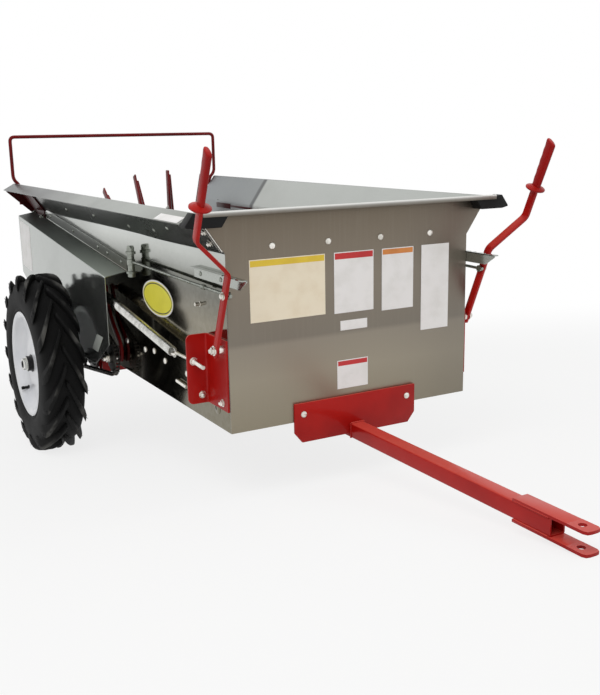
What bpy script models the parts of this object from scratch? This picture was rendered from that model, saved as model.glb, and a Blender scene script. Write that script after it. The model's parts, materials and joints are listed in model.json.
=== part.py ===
# Small ground-driven manure spreader: galvanised box, red running gear, two lugged wheels.
# The machine is drawn level: X across (positive to the right seen from the front), Y rearward
# from the front panel, Z up from the bottom edge of the box. One tilted empty then sets it
# down as it parks, nose down on its wheels and on the tip of its tongue.
import math

import bmesh
import bpy
from mathutils import Vector

# Fits, and the distances within which points count as one
FIT_GAP = 0.0003
BEARING_GAP = 0.0005
LATHE_MERGE = 0.00002
BOOLEAN_MERGE = 0.00001

# Box
SHEET = 0.003
BOX_HALF_WIDTH = 0.345
BOX_LENGTH = 1.72
FLARE_HEIGHT = 0.424
FLARE_RISE = 0.094
LIP_HEIGHT = FLARE_HEIGHT + FLARE_RISE
FLARE_OVERHANG = 0.066
LIP_REACH = 0.042
LIP_DROP = 0.023
FRONT_LIP_REACH = 0.040
FRONT_LIP_DEPTH = 0.012
CAP_INNER_REACH = 0.003
CAP_CHAMFER = 0.018
CAP_DEPTH = 0.030
CAP_HUMP_WIDTH = 0.021
CAP_HUMP_HEIGHT = 0.0045

# Floor and conveyor
FLOOR_TOP = 0.070
RAIL_SIZE = 0.038
RAIL_FRONT = 0.120
RAIL_REAR = BOX_LENGTH - RAIL_FRONT
APRON_FRONT_Y = 0.072
APRON_REAR_SETBACK = 0.060
APRON_REAR_Y = BOX_LENGTH - APRON_REAR_SETBACK
APRON_CHAIN_INSET = 0.075
APRON_CHAIN_X = BOX_HALF_WIDTH - APRON_CHAIN_INSET
APRON_CHAIN_WIDTH = 0.014
APRON_CHAIN_THICK = 0.008
APRON_CENTRE_Z = 0.047
SLAT_INSET = 0.051
SLAT_HALF_LENGTH = BOX_HALF_WIDTH - SLAT_INSET
SLAT_DEPTH = 0.020
SLAT_HEIGHT = 0.012
SLAT_COUNT = 12
SHAFT_RADIUS = 0.0125

# Running gear
AXLE_Y = 1.063
AXLE_Z = -0.021
AXLE_NUT_RADIUS = 0.020
AXLE_NUT_LENGTH = 0.014
WHEEL_OFFSET = 0.169
WHEEL_X = BOX_HALF_WIDTH + WHEEL_OFFSET
TYRE_RADIUS = 0.284
LUG_HEIGHT = 0.020
TYRE_HALF_WIDTH = 0.0655
TREAD_HALF_WIDTH = 0.056
LUG_HALF_WIDTH = 0.067
RIM_RADIUS = 0.169
RIM_SEAT_RADIUS = 0.155
RIM_HALF_WIDTH = 0.060
RIM_FLANGE = 0.006
RIM_METAL = 0.005
HUB_RADIUS = 0.024
HUB_INNER_REACH = 0.059
HUB_OUTER_REACH = 0.054
HUB_INNER_X = WHEEL_X - HUB_INNER_REACH
HUB_OUTER_X = WHEEL_X + HUB_OUTER_REACH
AXLE_HALF_LENGTH = HUB_OUTER_X + FIT_GAP + FIT_GAP + AXLE_NUT_LENGTH
LUGS_PER_SIDE = 16
LUG_SWEEP = math.radians(26)

# Frame
TUBE = 0.038
TUBE_WALL = 0.0032
TUBE_CENTRE_Z = -0.0455
HITCH_PLATE_HALF_WIDTH = 0.1785
HITCH_PLATE_THICK = 0.006
HITCH_PLATE_TOP = 0.047
HITCH_PLATE_BOTTOM = -0.053
HITCH_CHAMFER_X = 0.021
HITCH_CHAMFER_Z = 0.026
TONGUE_END_Y = -0.707
STRAP_THICK = 0.0064
STRAP_HALF_WIDTH = 0.020
STRAP_START_Y = -0.603
STRAP_TIP_Y = -0.798
STRAP_CHAMFER = 0.006
PIN_HOLE_RADIUS = 0.0085
PIN_HOLE_SETBACK = 0.030
CROSSMEMBER_SETBACK = 0.064
CROSSMEMBER_Y = AXLE_Y - CROSSMEMBER_SETBACK
BRACKET_PLATE = 0.006
BRACKET_HALF_LENGTH = 0.095
BRACKET_TOP = 0.100
BRACKET_EYE_RADIUS = 0.055
BEARING_RADIUS = 0.036
BEARING_DEPTH = 0.014

# Drive on each side
DRIVE_OFFSET = 0.033
DRIVE_X = BOX_HALF_WIDTH + DRIVE_OFFSET
SPROCKET_WIDTH = 0.006
CHAIN_WIDTH = 0.018
CHAIN_THICK = 0.010
CHAIN_CLEAR = 0.0015
AXLE_SPROCKET_RADIUS = 0.028
IDLER_REACH = 0.291
IDLER_Y = AXLE_Y - IDLER_REACH
IDLER_Z = 0.033
IDLER_RADIUS = 0.045
BEATER_SPROCKET_RADIUS = 0.040
APRON_SPROCKET_RADIUS = 0.034
TOOTH_HEIGHT = 0.007
IDLER_PIN_RADIUS = 0.008
IDLER_PIN_REACH = 0.028
IDLER_PIN_OUTER_X = DRIVE_X + IDLER_PIN_REACH
ARM_THICK = 0.008
ARM_WIDTH = 0.020
ARM_OFFSET = 0.006
ARM_INNER_X = BOX_HALF_WIDTH + ARM_OFFSET
ARM_HOOK_RADIUS = 0.006
ARM_HOOK_REACH = 0.030
ARM_HOOK_RUN = 0.090
ARM_HOOK_Y = IDLER_Y + ARM_HOOK_RUN
ARM_HOOK_Z = 0.2306
GUARD_SHEET = 0.002
GUARD_OFFSET = 0.069
GUARD_X = BOX_HALF_WIDTH + GUARD_OFFSET
GUARD_FRONT_REACH = 0.387
GUARD_FRONT_Y = AXLE_Y - GUARD_FRONT_REACH
GUARD_REAR_SETBACK = 0.030
GUARD_REAR_Y = BOX_LENGTH - GUARD_REAR_SETBACK
GUARD_FRONT_DROP = 0.130
GUARD_FRONT_TOP = FLARE_HEIGHT - GUARD_FRONT_DROP
GUARD_REAR_DROP = 0.022
GUARD_REAR_TOP = FLARE_HEIGHT - GUARD_REAR_DROP
GUARD_RISE = 0.012
GUARD_FLANGE = 0.033
GUARD_BOTTOM = 0.007
GUARD_FRONT_CORNER_Z = 0.094
GUARD_CHAMFER_REACH = 0.241
GUARD_CHAMFER_Y = AXLE_Y - GUARD_CHAMFER_REACH
GUARD_SLOPE_REACH = 0.177
GUARD_REAR_SLOPE_Y = AXLE_Y + GUARD_SLOPE_REACH
GUARD_REAR_CORNER_Z = 0.190

# Front corner: bracket, lever, notched guide, rod, spring
CORNER_LENGTH = 0.117
CORNER_BOTTOM = 0.052
CORNER_TOP = 0.224
CORNER_METAL = 0.005
CORNER_REACH = 0.057
CORNER_ROUND = 0.014
EYEBOLT_OFFSET = 0.0345
EYEBOLT_X = BOX_HALF_WIDTH + EYEBOLT_OFFSET
EYEBOLT_Z = 0.155
EYEBOLT_RADIUS = 0.0045
EYEBOLT_FRONT_Y = 0.078
NUT_RADIUS = 0.009
NUT_DEPTH = 0.007
SPRING_RADIUS = 0.0128
SPRING_START_Y = 0.240
SPRING_START_Z = 0.1505
PIVOT_OFFSET = 0.023
PIVOT_X = BOX_HALF_WIDTH + PIVOT_OFFSET
PIVOT_Y = 0.0185
PIVOT_Z = 0.201
LEVER_LEAN = math.radians(23.6)
LEVER_WIDTH = 0.020
LEVER_THICK = 0.008
LEVER_OUTER_REACH = 0.0925
GRIP_RADIUS = 0.0135
GRIP_FLANGE_RADIUS = 0.023
GRIP_FLANGE_THICK = 0.006
LEVER_HEEL = 0.016
GUIDE_HEIGHT = 0.027
GUIDE_DROP = 0.045
GUIDE_TOP_Z = FLARE_HEIGHT - GUIDE_DROP
GUIDE_METAL = 0.003
GUIDE_FRONT_Y = -0.112
GUIDE_REAR_Y = 0.172
GUIDE_REACH = 0.0135
NOTCH_WIDTH = 0.012
NOTCH_DEPTH = 0.007
NOTCH_FIRST_Y = -0.071
NOTCH_STEPS = (0, 0.0365, 0.0575)
ROD_RADIUS = 0.004
ROD_OFFSET = 0.0135
ROD_PIN_RADIUS = 0.005
ROD_PIN_DROP = 0.042
ROD_PIN_HEIGHT = GUIDE_TOP_Z - ROD_PIN_DROP - PIVOT_Z
ROD_OVERHANG = 0.012
ROD_RISE = 0.009
STUD_OFFSET = 0.021
STUD_SETBACK = 0.097
STUD_Y = GUARD_FRONT_Y - STUD_SETBACK
STUD_RADIUS = 0.011
STUD_HALF_HEIGHT = 0.044
COLLAR_RADIUS = 0.0145
COLLAR_HEIGHT = 0.007
LEVER_KINK_RISE = 0.070
LEVER_ELBOW_RISE = 0.088
GRIP_RISE = 0.0782
GRIP_LENGTH = 0.1252
LEVER_KINK = ROD_PIN_HEIGHT + LEVER_KINK_RISE
LEVER_ELBOW = LEVER_KINK + LEVER_ELBOW_RISE
GRIP_START = LEVER_ELBOW + GRIP_RISE
GRIP_END = GRIP_START + GRIP_LENGTH

# Beater and rear arch
BEATER_SETBACK = 0.110
BEATER_Y = BOX_LENGTH - BEATER_SETBACK
BEATER_DROP = 0.079
BEATER_Z = FLARE_HEIGHT - BEATER_DROP
BEATER_LOW_Z = 0.138
BEATER_RADIUS = BEATER_Z - BEATER_LOW_Z
BEATER_TUBE_RADIUS = 0.020
BEATER_TUBE_INSET = 0.015
BEATER_TUBE_HALF_LENGTH = BOX_HALF_WIDTH - BEATER_TUBE_INSET
BEATER_SHAFT_REACH = 0.021
BEATER_HALF_LENGTH = BOX_HALF_WIDTH + BEATER_SHAFT_REACH
PADDLE_WIDTH = 0.026
PADDLE_THICK = 0.006
PADDLE_SPLAY = math.radians(7)
PADDLE_SHORT_SHARE = 0.90
PADDLE_STEP = math.radians(25)
PADDLE_STATIONS = 6
PADDLE_SPAN_SHARE = 0.97
PADDLE_PITCH = PADDLE_SPAN_SHARE * BEATER_TUBE_HALF_LENGTH * 2 / PADDLE_STATIONS
REAR_PLATE_LENGTH = 0.164
REAR_PLATE_FRONT_Y = BOX_LENGTH - REAR_PLATE_LENGTH
REAR_PLATE_DROP = 0.139
REAR_PLATE_BOTTOM = FLARE_HEIGHT - REAR_PLATE_DROP
REAR_PLATE_METAL = 0.005
REAR_BEARING_RADIUS = 0.032
REAR_BEARING_DEPTH = 0.012
HOOP_RADIUS = 0.0065
HOOP_RISE = 0.172
HOOP_OVERHANG = 0.0685
HOOP_CORNER = 0.020
HOOP_KINK_RISE = 0.028
HOOP_FOOT_OVERHANG = 0.046
HOOP_FOOT_DROP = 0.078

# Round pieces: segments, steps of each kind of arc, and the angle that stays a sharp edge
ROUND = 24
ROD_ROUND = 12
APRON_BELT_STEPS = 10
DRIVE_BELT_STEPS = 8
EYE_STEPS = 12
HOOP_STEPS = 3
CORNER_STEPS = 3
FEWEST_TEETH = 8
SHARP_ANGLE = math.radians(35)

COLOURS = {
    "galvanised": ((0.62, 0.63, 0.62), 0.32, 0.9),
    "red_paint": ((0.60, 0.035, 0.025), 0.38, 0.0),
    "black_steel": ((0.03, 0.03, 0.032), 0.55, 0.3),
    "black_plastic": ((0.02, 0.02, 0.02), 0.5, 0.0),
    "tyre_rubber": ((0.018, 0.018, 0.019), 0.8, 0.0),
    "white_paint": ((0.85, 0.85, 0.84), 0.35, 0.0),
    "zinc": ((0.72, 0.72, 0.70), 0.28, 1.0),
}

# side: name, sign of X, what the side's chain drives
SIDES = (
    {"name": "left", "sign": -1, "driven": "beater"},
    {"name": "right", "sign": 1, "driven": "apron"},
)
DRIVEN = {
    "beater": (BEATER_Y, BEATER_Z, BEATER_SPROCKET_RADIUS),
    "apron": (APRON_REAR_Y, APRON_CENTRE_Z, APRON_SPROCKET_RADIUS),
}

materials = {}
root = None


def clear_scene():
    for thing in list(bpy.data.objects):
        bpy.data.objects.remove(thing, do_unlink=True)


def make_materials():
    for name, (colour, roughness, metallic) in COLOURS.items():
        material = bpy.data.materials.new(name)
        material.use_nodes = True
        shader = material.node_tree.nodes["Principled BSDF"]
        shader.inputs["Base Color"].default_value = (*colour, 1)
        shader.inputs["Roughness"].default_value = roughness
        shader.inputs["Metallic"].default_value = metallic
        material.diffuse_color = (*colour, 1)
        materials[name] = material


def spot(axis, across, up, along):
    """Point of an outline: its two numbers run in the two axes left over, in order."""
    if axis == "x":
        return Vector((along, across, up))
    if axis == "y":
        return Vector((across, along, up))
    return Vector((across, up, along))


def prism(bm, outline, axis, low, high):
    near = [bm.verts.new(spot(axis, across, up, low)) for across, up in outline]
    far = [bm.verts.new(spot(axis, across, up, high)) for across, up in outline]
    bm.faces.new(near)
    bm.faces.new(list(reversed(far)))
    for i in range(len(outline)):
        j = (i + 1) % len(outline)
        bm.faces.new((near[j], near[i], far[i], far[j]))


def block(bm, x_range, y_range, z_range):
    outline = [(x, y) for x, y in ((x_range[0], y_range[0]), (x_range[1], y_range[0]),
                                   (x_range[1], y_range[1]), (x_range[0], y_range[1]))]
    prism(bm, outline, "z", *z_range)


def sheared_prism(bm, outline, front_y, rear_y, rise):
    """A bent sheet whose cross-section climbs by rise from its front to its rear."""
    near = [bm.verts.new((x, front_y, z)) for x, z in outline]
    far = [bm.verts.new((x, rear_y, z + rise)) for x, z in outline]
    bm.faces.new(near)
    bm.faces.new(list(reversed(far)))
    for i in range(len(outline)):
        j = (i + 1) % len(outline)
        bm.faces.new((near[j], near[i], far[i], far[j]))


def ring_prism(bm, outer, inner, axis, low, high):
    loops = []
    for outline, along in ((outer, low), (outer, high), (inner, high), (inner, low)):
        loops.append([bm.verts.new(spot(axis, across, up, along)) for across, up in outline])
    count = len(outer)
    for k in range(4):
        first = loops[k]
        second = loops[(k + 1) % 4]
        for i in range(count):
            j = (i + 1) % count
            bm.faces.new((first[i], first[j], second[j], second[i]))


def lathe(bm, profile, axis_point, direction, segments, closed=True):
    """Spins (distance along the direction, radius) points round the axis line."""
    direction = Vector(direction).normalized()
    side = direction.orthogonal().normalized()
    start = Vector(axis_point)
    ring = [bm.verts.new(start + direction * along + side * radius) for along, radius in profile]
    edges = [bm.edges.new(pair) for pair in zip(ring, ring[1:])]
    if closed:
        edges.append(bm.edges.new((ring[-1], ring[0])))
    bmesh.ops.spin(bm, geom=ring + edges, cent=start, axis=direction, angle=math.tau,
                   steps=segments, use_merge=True)
    bmesh.ops.remove_doubles(bm, verts=bm.verts[:], dist=LATHE_MERGE)


def rod(bm, start, end, radius, segments=ROD_ROUND):
    span = Vector(end) - Vector(start)
    profile = [(0, 0), (0, radius), (span.length, radius), (span.length, 0)]
    lathe(bm, profile, start, span, segments, closed=False)


def sweep(bm, path, section, side):
    """A bar of constant section along a flat path; side is square to the path's plane."""
    path = [Vector(point) for point in path]
    side = Vector(side).normalized()
    rings = []
    for i, point in enumerate(path):
        run_in = (point - path[i - 1]).normalized() if i else None
        run_out = (path[i + 1] - point).normalized() if i + 1 < len(path) else None
        run = run_in or run_out
        mitre = ((run_in or run_out) + (run_out or run_in)).normalized()
        across = run.cross(side)
        ring = []
        for u, v in section:
            corner = point + side * u + across * v
            slide = (point - corner).dot(mitre) / run.dot(mitre)
            ring.append(bm.verts.new(corner + run * slide))
        rings.append(ring)
    bm.faces.new(rings[0])
    bm.faces.new(list(reversed(rings[-1])))
    count = len(section)
    for first, second in zip(rings, rings[1:]):
        for i in range(count):
            j = (i + 1) % count
            bm.faces.new((first[j], first[i], second[i], second[j]))


def flat_section(half_u, half_v):
    return [(-half_u, -half_v), (half_u, -half_v), (half_u, half_v), (-half_u, half_v)]


def round_section(radius, segments=ROD_ROUND):
    turn = math.tau / segments
    return [(radius * math.cos(turn * i), radius * math.sin(turn * i)) for i in range(segments)]


def node(name, bm, material, origin=(0, 0, 0), smooth=False):
    bmesh.ops.recalc_face_normals(bm, faces=bm.faces[:])
    origin = Vector(origin)
    bmesh.ops.translate(bm, verts=bm.verts[:], vec=-origin)
    mesh = bpy.data.meshes.new(name)
    bm.to_mesh(mesh)
    bm.free()
    made = bpy.data.objects.new(name, mesh)
    bpy.context.scene.collection.objects.link(made)
    mesh.materials.append(materials[material])
    made.parent = root
    made.location = origin
    if smooth:
        for face in mesh.polygons:
            face.use_smooth = True
        mesh.set_sharp_from_angle(angle=SHARP_ANGLE)
    return made


def helper(name, bm):
    made = node(name, bm, "zinc")
    made.hide_render = True
    made.display_type = "WIRE"
    return made


def combine(target, tool, operation):
    """Boolean of two meshes, applied at once; the tool object is thrown away."""
    bpy.context.view_layer.update()
    change = target.modifiers.new(operation.lower(), "BOOLEAN")
    change.object = tool
    change.operation = operation
    change.solver = "EXACT"
    graph = bpy.context.evaluated_depsgraph_get()
    result = bpy.data.meshes.new_from_object(target.evaluated_get(graph))
    target.modifiers.clear()
    old = target.data
    target.data = result
    result.name = old.name
    bpy.data.objects.remove(tool, do_unlink=True)
    clean = bmesh.new()
    clean.from_mesh(target.data)
    bmesh.ops.remove_doubles(clean, verts=clean.verts[:], dist=BOOLEAN_MERGE)
    bmesh.ops.dissolve_degenerate(clean, edges=clean.edges[:], dist=BOOLEAN_MERGE)
    clean.to_mesh(target.data)
    clean.free()
    return target


def shade_round(made):
    for face in made.data.polygons:
        face.use_smooth = True
    made.data.set_sharp_from_angle(angle=SHARP_ANGLE)


def bore(target, start, end, radius, segments=ROD_ROUND):
    cutter = bmesh.new()
    rod(cutter, start, end, radius, segments)
    return combine(target, helper("bore", cutter), "DIFFERENCE")


def weld(target, bm):
    return combine(target, helper("weld", bm), "UNION")


def flare_x(height):
    """Outer face of the box side at a height on its flare."""
    share = (height - FLARE_HEIGHT) / (LIP_HEIGHT - FLARE_HEIGHT)
    return BOX_HALF_WIDTH + FLARE_OVERHANG * max(share, 0)


def skin(points, thickness):
    """Closed outline of a bent strip: its outer line and the same line moved inward."""
    inner = []
    for i, point in enumerate(points):
        before = points[max(i - 1, 0)]
        after = points[min(i + 1, len(points) - 1)]
        near = points[i] if i == 0 else before
        first = Vector((points[i][0] - near[0], points[i][1] - near[1]))
        second = Vector((after[0] - point[0], after[1] - point[1]))
        if first.length == 0:
            first = second
        if second.length == 0:
            second = first
        first.normalize()
        second.normalize()
        normal_first = Vector((-first.y, first.x))
        normal_second = Vector((-second.y, second.x))
        mitre = (normal_first + normal_second).normalized()
        reach = thickness / mitre.dot(normal_first)
        inner.append((point[0] + mitre.x * reach, point[1] + mitre.y * reach))
    return list(points) + list(reversed(inner))


def mirrored(outline, sign):
    return [(sign * x, z) for x, z in outline]


def build_box_side(side):
    line = [
        (BOX_HALF_WIDTH, 0),
        (BOX_HALF_WIDTH, FLARE_HEIGHT),
        (BOX_HALF_WIDTH + FLARE_OVERHANG, LIP_HEIGHT),
        (BOX_HALF_WIDTH + FLARE_OVERHANG + LIP_REACH, LIP_HEIGHT - LIP_DROP),
    ]
    bm = bmesh.new()
    prism(bm, mirrored(skin(line, SHEET), side["sign"]), "y", FIT_GAP, BOX_LENGTH)
    made = node("box_side_" + side["name"], bm, "galvanised")
    sign = side["sign"]
    outside = sign * (BOX_HALF_WIDTH + SHEET)
    inside = sign * (BOX_HALF_WIDTH - SHEET - SHEET)
    for y, z in ((BEATER_Y, BEATER_Z), (APRON_FRONT_Y, APRON_CENTRE_Z), (APRON_REAR_Y, APRON_CENTRE_Z)):
        bore(made, (inside, y, z), (outside, y, z), SHAFT_RADIUS + BEARING_GAP, ROUND)


def build_front_panel():
    top_half = BOX_HALF_WIDTH + FLARE_OVERHANG
    outline = [
        (-BOX_HALF_WIDTH, 0), (BOX_HALF_WIDTH, 0), (BOX_HALF_WIDTH, FLARE_HEIGHT),
        (top_half, LIP_HEIGHT), (-top_half, LIP_HEIGHT), (-BOX_HALF_WIDTH, FLARE_HEIGHT),
    ]
    bm = bmesh.new()
    prism(bm, outline, "y", -SHEET, 0)
    made = node("front_panel", bm, "galvanised")
    lip = bmesh.new()
    line = [(0, LIP_HEIGHT), (-FRONT_LIP_REACH, LIP_HEIGHT),
            (-FRONT_LIP_REACH, LIP_HEIGHT - FRONT_LIP_DEPTH)]
    prism(lip, skin(line, SHEET), "x", -top_half, top_half)
    weld(made, lip)


def build_corner_cap(side):
    under_lip = LIP_HEIGHT - SHEET - FIT_GAP
    inner = BOX_HALF_WIDTH + CAP_INNER_REACH
    fold = BOX_HALF_WIDTH + FLARE_OVERHANG + FIT_GAP
    outer = BOX_HALF_WIDTH + FLARE_OVERHANG + LIP_REACH
    line = [
        (inner, under_lip),
        (inner + CAP_CHAMFER, LIP_HEIGHT - CAP_DEPTH),
        (outer - CAP_CHAMFER, LIP_HEIGHT - CAP_DEPTH),
        (outer, LIP_HEIGHT - LIP_DROP - SHEET),
        (outer, LIP_HEIGHT - LIP_DROP),
        (fold + CAP_HUMP_WIDTH, LIP_HEIGHT + CAP_HUMP_HEIGHT),
        (fold, LIP_HEIGHT),
        (fold, under_lip),
    ]
    bm = bmesh.new()
    front = -FRONT_LIP_REACH + SHEET + FIT_GAP
    prism(bm, mirrored(line, side["sign"]), "y", front, -SHEET - FIT_GAP)
    node("corner_cap_" + side["name"], bm, "black_plastic")


def build_floor():
    half = BOX_HALF_WIDTH - SHEET - FIT_GAP
    bm = bmesh.new()
    disc = FLOOR_TOP - APRON_CENTRE_Z
    block(bm, (-half, half), (APRON_FRONT_Y + disc, APRON_REAR_Y - disc), (FLOOR_TOP - SHEET, FLOOR_TOP))
    node("floor", bm, "galvanised")


def build_floor_rail(side):
    outer = BOX_HALF_WIDTH - SHEET - FIT_GAP
    top = FLOOR_TOP - SHEET - FIT_GAP
    bm = bmesh.new()
    xs = sorted((side["sign"] * outer, side["sign"] * (outer - RAIL_SIZE)))
    block(bm, xs, (RAIL_FRONT, RAIL_REAR), (top - RAIL_SIZE, top))
    node("floor_rail_" + side["name"], bm, "galvanised")


def arc(centre, radius, start, end, steps):
    points = []
    for i in range(steps + 1):
        angle = start + (end - start) * i / steps
        points.append((centre[0] + radius * math.cos(angle), centre[1] + radius * math.sin(angle)))
    return points


def belt(wheels, extra, steps):
    """Outline round several circles given counter-clockwise as (y, z, radius)."""
    normals = []
    count = len(wheels)
    for i in range(count):
        first = wheels[i]
        second = wheels[(i + 1) % count]
        run = Vector((second[0] - first[0], second[1] - first[1]))
        heading = math.atan2(run.y, run.x)
        normals.append(heading - math.acos((first[2] - second[2]) / run.length))
    points = []
    for i in range(count):
        start = normals[i - 1]
        end = normals[i]
        while end < start:
            end += math.tau
        points += arc(wheels[i][:2], wheels[i][2] + extra, start, end, steps)
    return points


def toothed(centre, radius, teeth):
    points = []
    pitch = math.tau / teeth
    root_share = 0.42
    tip_share = 0.16
    tooth = ((-root_share, -TOOTH_HEIGHT), (-tip_share, 0), (tip_share, 0), (root_share, -TOOTH_HEIGHT))
    for i in range(teeth):
        for share, reach in tooth:
            angle = pitch * (i + share)
            points.append((centre[0] + (radius + reach) * math.cos(angle),
                           centre[1] + (radius + reach) * math.sin(angle)))
    return points


def tooth_count(radius):
    return max(int(math.tau * radius / (TOOTH_HEIGHT + TOOTH_HEIGHT)), FEWEST_TEETH)


def build_apron():
    inner_radius = FLOOR_TOP + FIT_GAP - APRON_CENTRE_Z
    wheels = [(APRON_FRONT_Y, APRON_CENTRE_Z, inner_radius), (APRON_REAR_Y, APRON_CENTRE_Z, inner_radius)]
    made = None
    for sign in (-1, 1):
        bm = bmesh.new()
        inner = sign * APRON_CHAIN_X - APRON_CHAIN_WIDTH / 2
        ring_prism(bm, belt(wheels, APRON_CHAIN_THICK, APRON_BELT_STEPS), belt(wheels, 0, APRON_BELT_STEPS), "x",
                   inner, inner + APRON_CHAIN_WIDTH)
        if made is None:
            made = node("apron_chain", bm, "black_steel")
        else:
            weld(made, bm)
    pitch = (APRON_REAR_Y - APRON_FRONT_Y) / SLAT_COUNT
    sink = APRON_CHAIN_THICK / 2
    for i in range(SLAT_COUNT):
        y = APRON_FRONT_Y + pitch * (i + 0.5)
        top = APRON_CENTRE_Z + inner_radius + APRON_CHAIN_THICK
        bottom = APRON_CENTRE_Z - inner_radius - APRON_CHAIN_THICK
        for low, high in ((top - sink, top + SLAT_HEIGHT), (bottom - SLAT_HEIGHT, bottom + sink)):
            bar = bmesh.new()
            block(bar, (-SLAT_HALF_LENGTH, SLAT_HALF_LENGTH),
                  (y - SLAT_DEPTH / 2, y + SLAT_DEPTH / 2), (low, high))
            weld(made, bar)


def build_apron_shaft(name, y, reach_right):
    reach_left = BOX_HALF_WIDTH
    disc_radius = FLOOR_TOP - APRON_CENTRE_Z - FIT_GAP
    half_disc = APRON_CHAIN_WIDTH / 2
    profile = [(-reach_left, 0), (-reach_left, SHAFT_RADIUS)]
    for x in (-APRON_CHAIN_X, APRON_CHAIN_X):
        profile += [(x - half_disc, SHAFT_RADIUS), (x - half_disc, disc_radius),
                    (x + half_disc, disc_radius), (x + half_disc, SHAFT_RADIUS)]
    profile += [(reach_right, SHAFT_RADIUS), (reach_right, 0)]
    bm = bmesh.new()
    lathe(bm, profile, (0, y, APRON_CENTRE_Z), (1, 0, 0), ROUND, closed=False)
    return node(name, bm, "black_steel", smooth=True)


def build_apron_shafts():
    build_apron_shaft("apron_front_shaft", APRON_FRONT_Y, BOX_HALF_WIDTH)
    rear = build_apron_shaft("apron_rear_shaft", APRON_REAR_Y, DRIVE_X + SPROCKET_WIDTH)
    disc = bmesh.new()
    prism(disc, toothed((APRON_REAR_Y, APRON_CENTRE_Z), APRON_SPROCKET_RADIUS,
                        tooth_count(APRON_SPROCKET_RADIUS)), "x",
          DRIVE_X - SPROCKET_WIDTH / 2, DRIVE_X + SPROCKET_WIDTH / 2)
    weld(rear, disc)


def build_axle():
    bm = bmesh.new()
    nut_inner = AXLE_HALF_LENGTH - AXLE_NUT_LENGTH
    profile = [
        (-AXLE_HALF_LENGTH, 0), (-AXLE_HALF_LENGTH, AXLE_NUT_RADIUS), (-nut_inner, AXLE_NUT_RADIUS),
        (-nut_inner, SHAFT_RADIUS), (nut_inner, SHAFT_RADIUS), (nut_inner, AXLE_NUT_RADIUS),
        (AXLE_HALF_LENGTH, AXLE_NUT_RADIUS), (AXLE_HALF_LENGTH, 0),
    ]
    lathe(bm, profile, (0, AXLE_Y, AXLE_Z), (1, 0, 0), ROUND, closed=False)
    made = node("axle", bm, "black_steel", smooth=True)
    for sign in (-1, 1):
        disc = bmesh.new()
        low = sign * DRIVE_X - SPROCKET_WIDTH / 2
        prism(disc, toothed((AXLE_Y, AXLE_Z), AXLE_SPROCKET_RADIUS, tooth_count(AXLE_SPROCKET_RADIUS)),
              "x", low, low + SPROCKET_WIDTH)
        weld(made, disc)


def build_rim(side):
    flange_in = RIM_HALF_WIDTH - RIM_FLANGE
    seat = RIM_SEAT_RADIUS - FIT_GAP
    barrel = seat - RIM_METAL
    bore_radius = HUB_RADIUS + FIT_GAP
    dish_shares = ((0.62, 0.0), (0.62, 0.36), (0.50, 0.74), (0.66, 0.93))
    front = [(RIM_HALF_WIDTH * depth, bore_radius + (barrel - bore_radius) * out)
             for depth, out in dish_shares]
    back = [(depth - RIM_METAL, radius) for depth, radius in reversed(front[:3])]
    profile = front + [
        (RIM_HALF_WIDTH, barrel), (RIM_HALF_WIDTH, RIM_RADIUS), (flange_in, RIM_RADIUS), (flange_in, seat),
        (-flange_in, seat), (-flange_in, RIM_RADIUS), (-RIM_HALF_WIDTH, RIM_RADIUS), (-RIM_HALF_WIDTH, barrel),
        (front[2][0] - RIM_METAL, barrel),
    ] + back
    bm = bmesh.new()
    centre = Vector((side["sign"] * WHEEL_X, AXLE_Y, AXLE_Z))
    lathe(bm, profile, centre, (side["sign"], 0, 0), ROUND + ROUND)
    node("wheel_rim_" + side["name"], bm, "white_paint", centre, smooth=True)


def build_hub(side):
    bm = bmesh.new()
    bore_radius = SHAFT_RADIUS + BEARING_GAP
    profile = [(HUB_INNER_X, bore_radius), (HUB_INNER_X, HUB_RADIUS), (HUB_OUTER_X, HUB_RADIUS),
               (HUB_OUTER_X, bore_radius)]
    lathe(bm, profile, (0, AXLE_Y, AXLE_Z), (side["sign"], 0, 0), ROUND)
    centre = Vector((side["sign"] * WHEEL_X, AXLE_Y, AXLE_Z))
    node("wheel_hub_" + side["name"], bm, "black_steel", centre, smooth=True)


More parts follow.
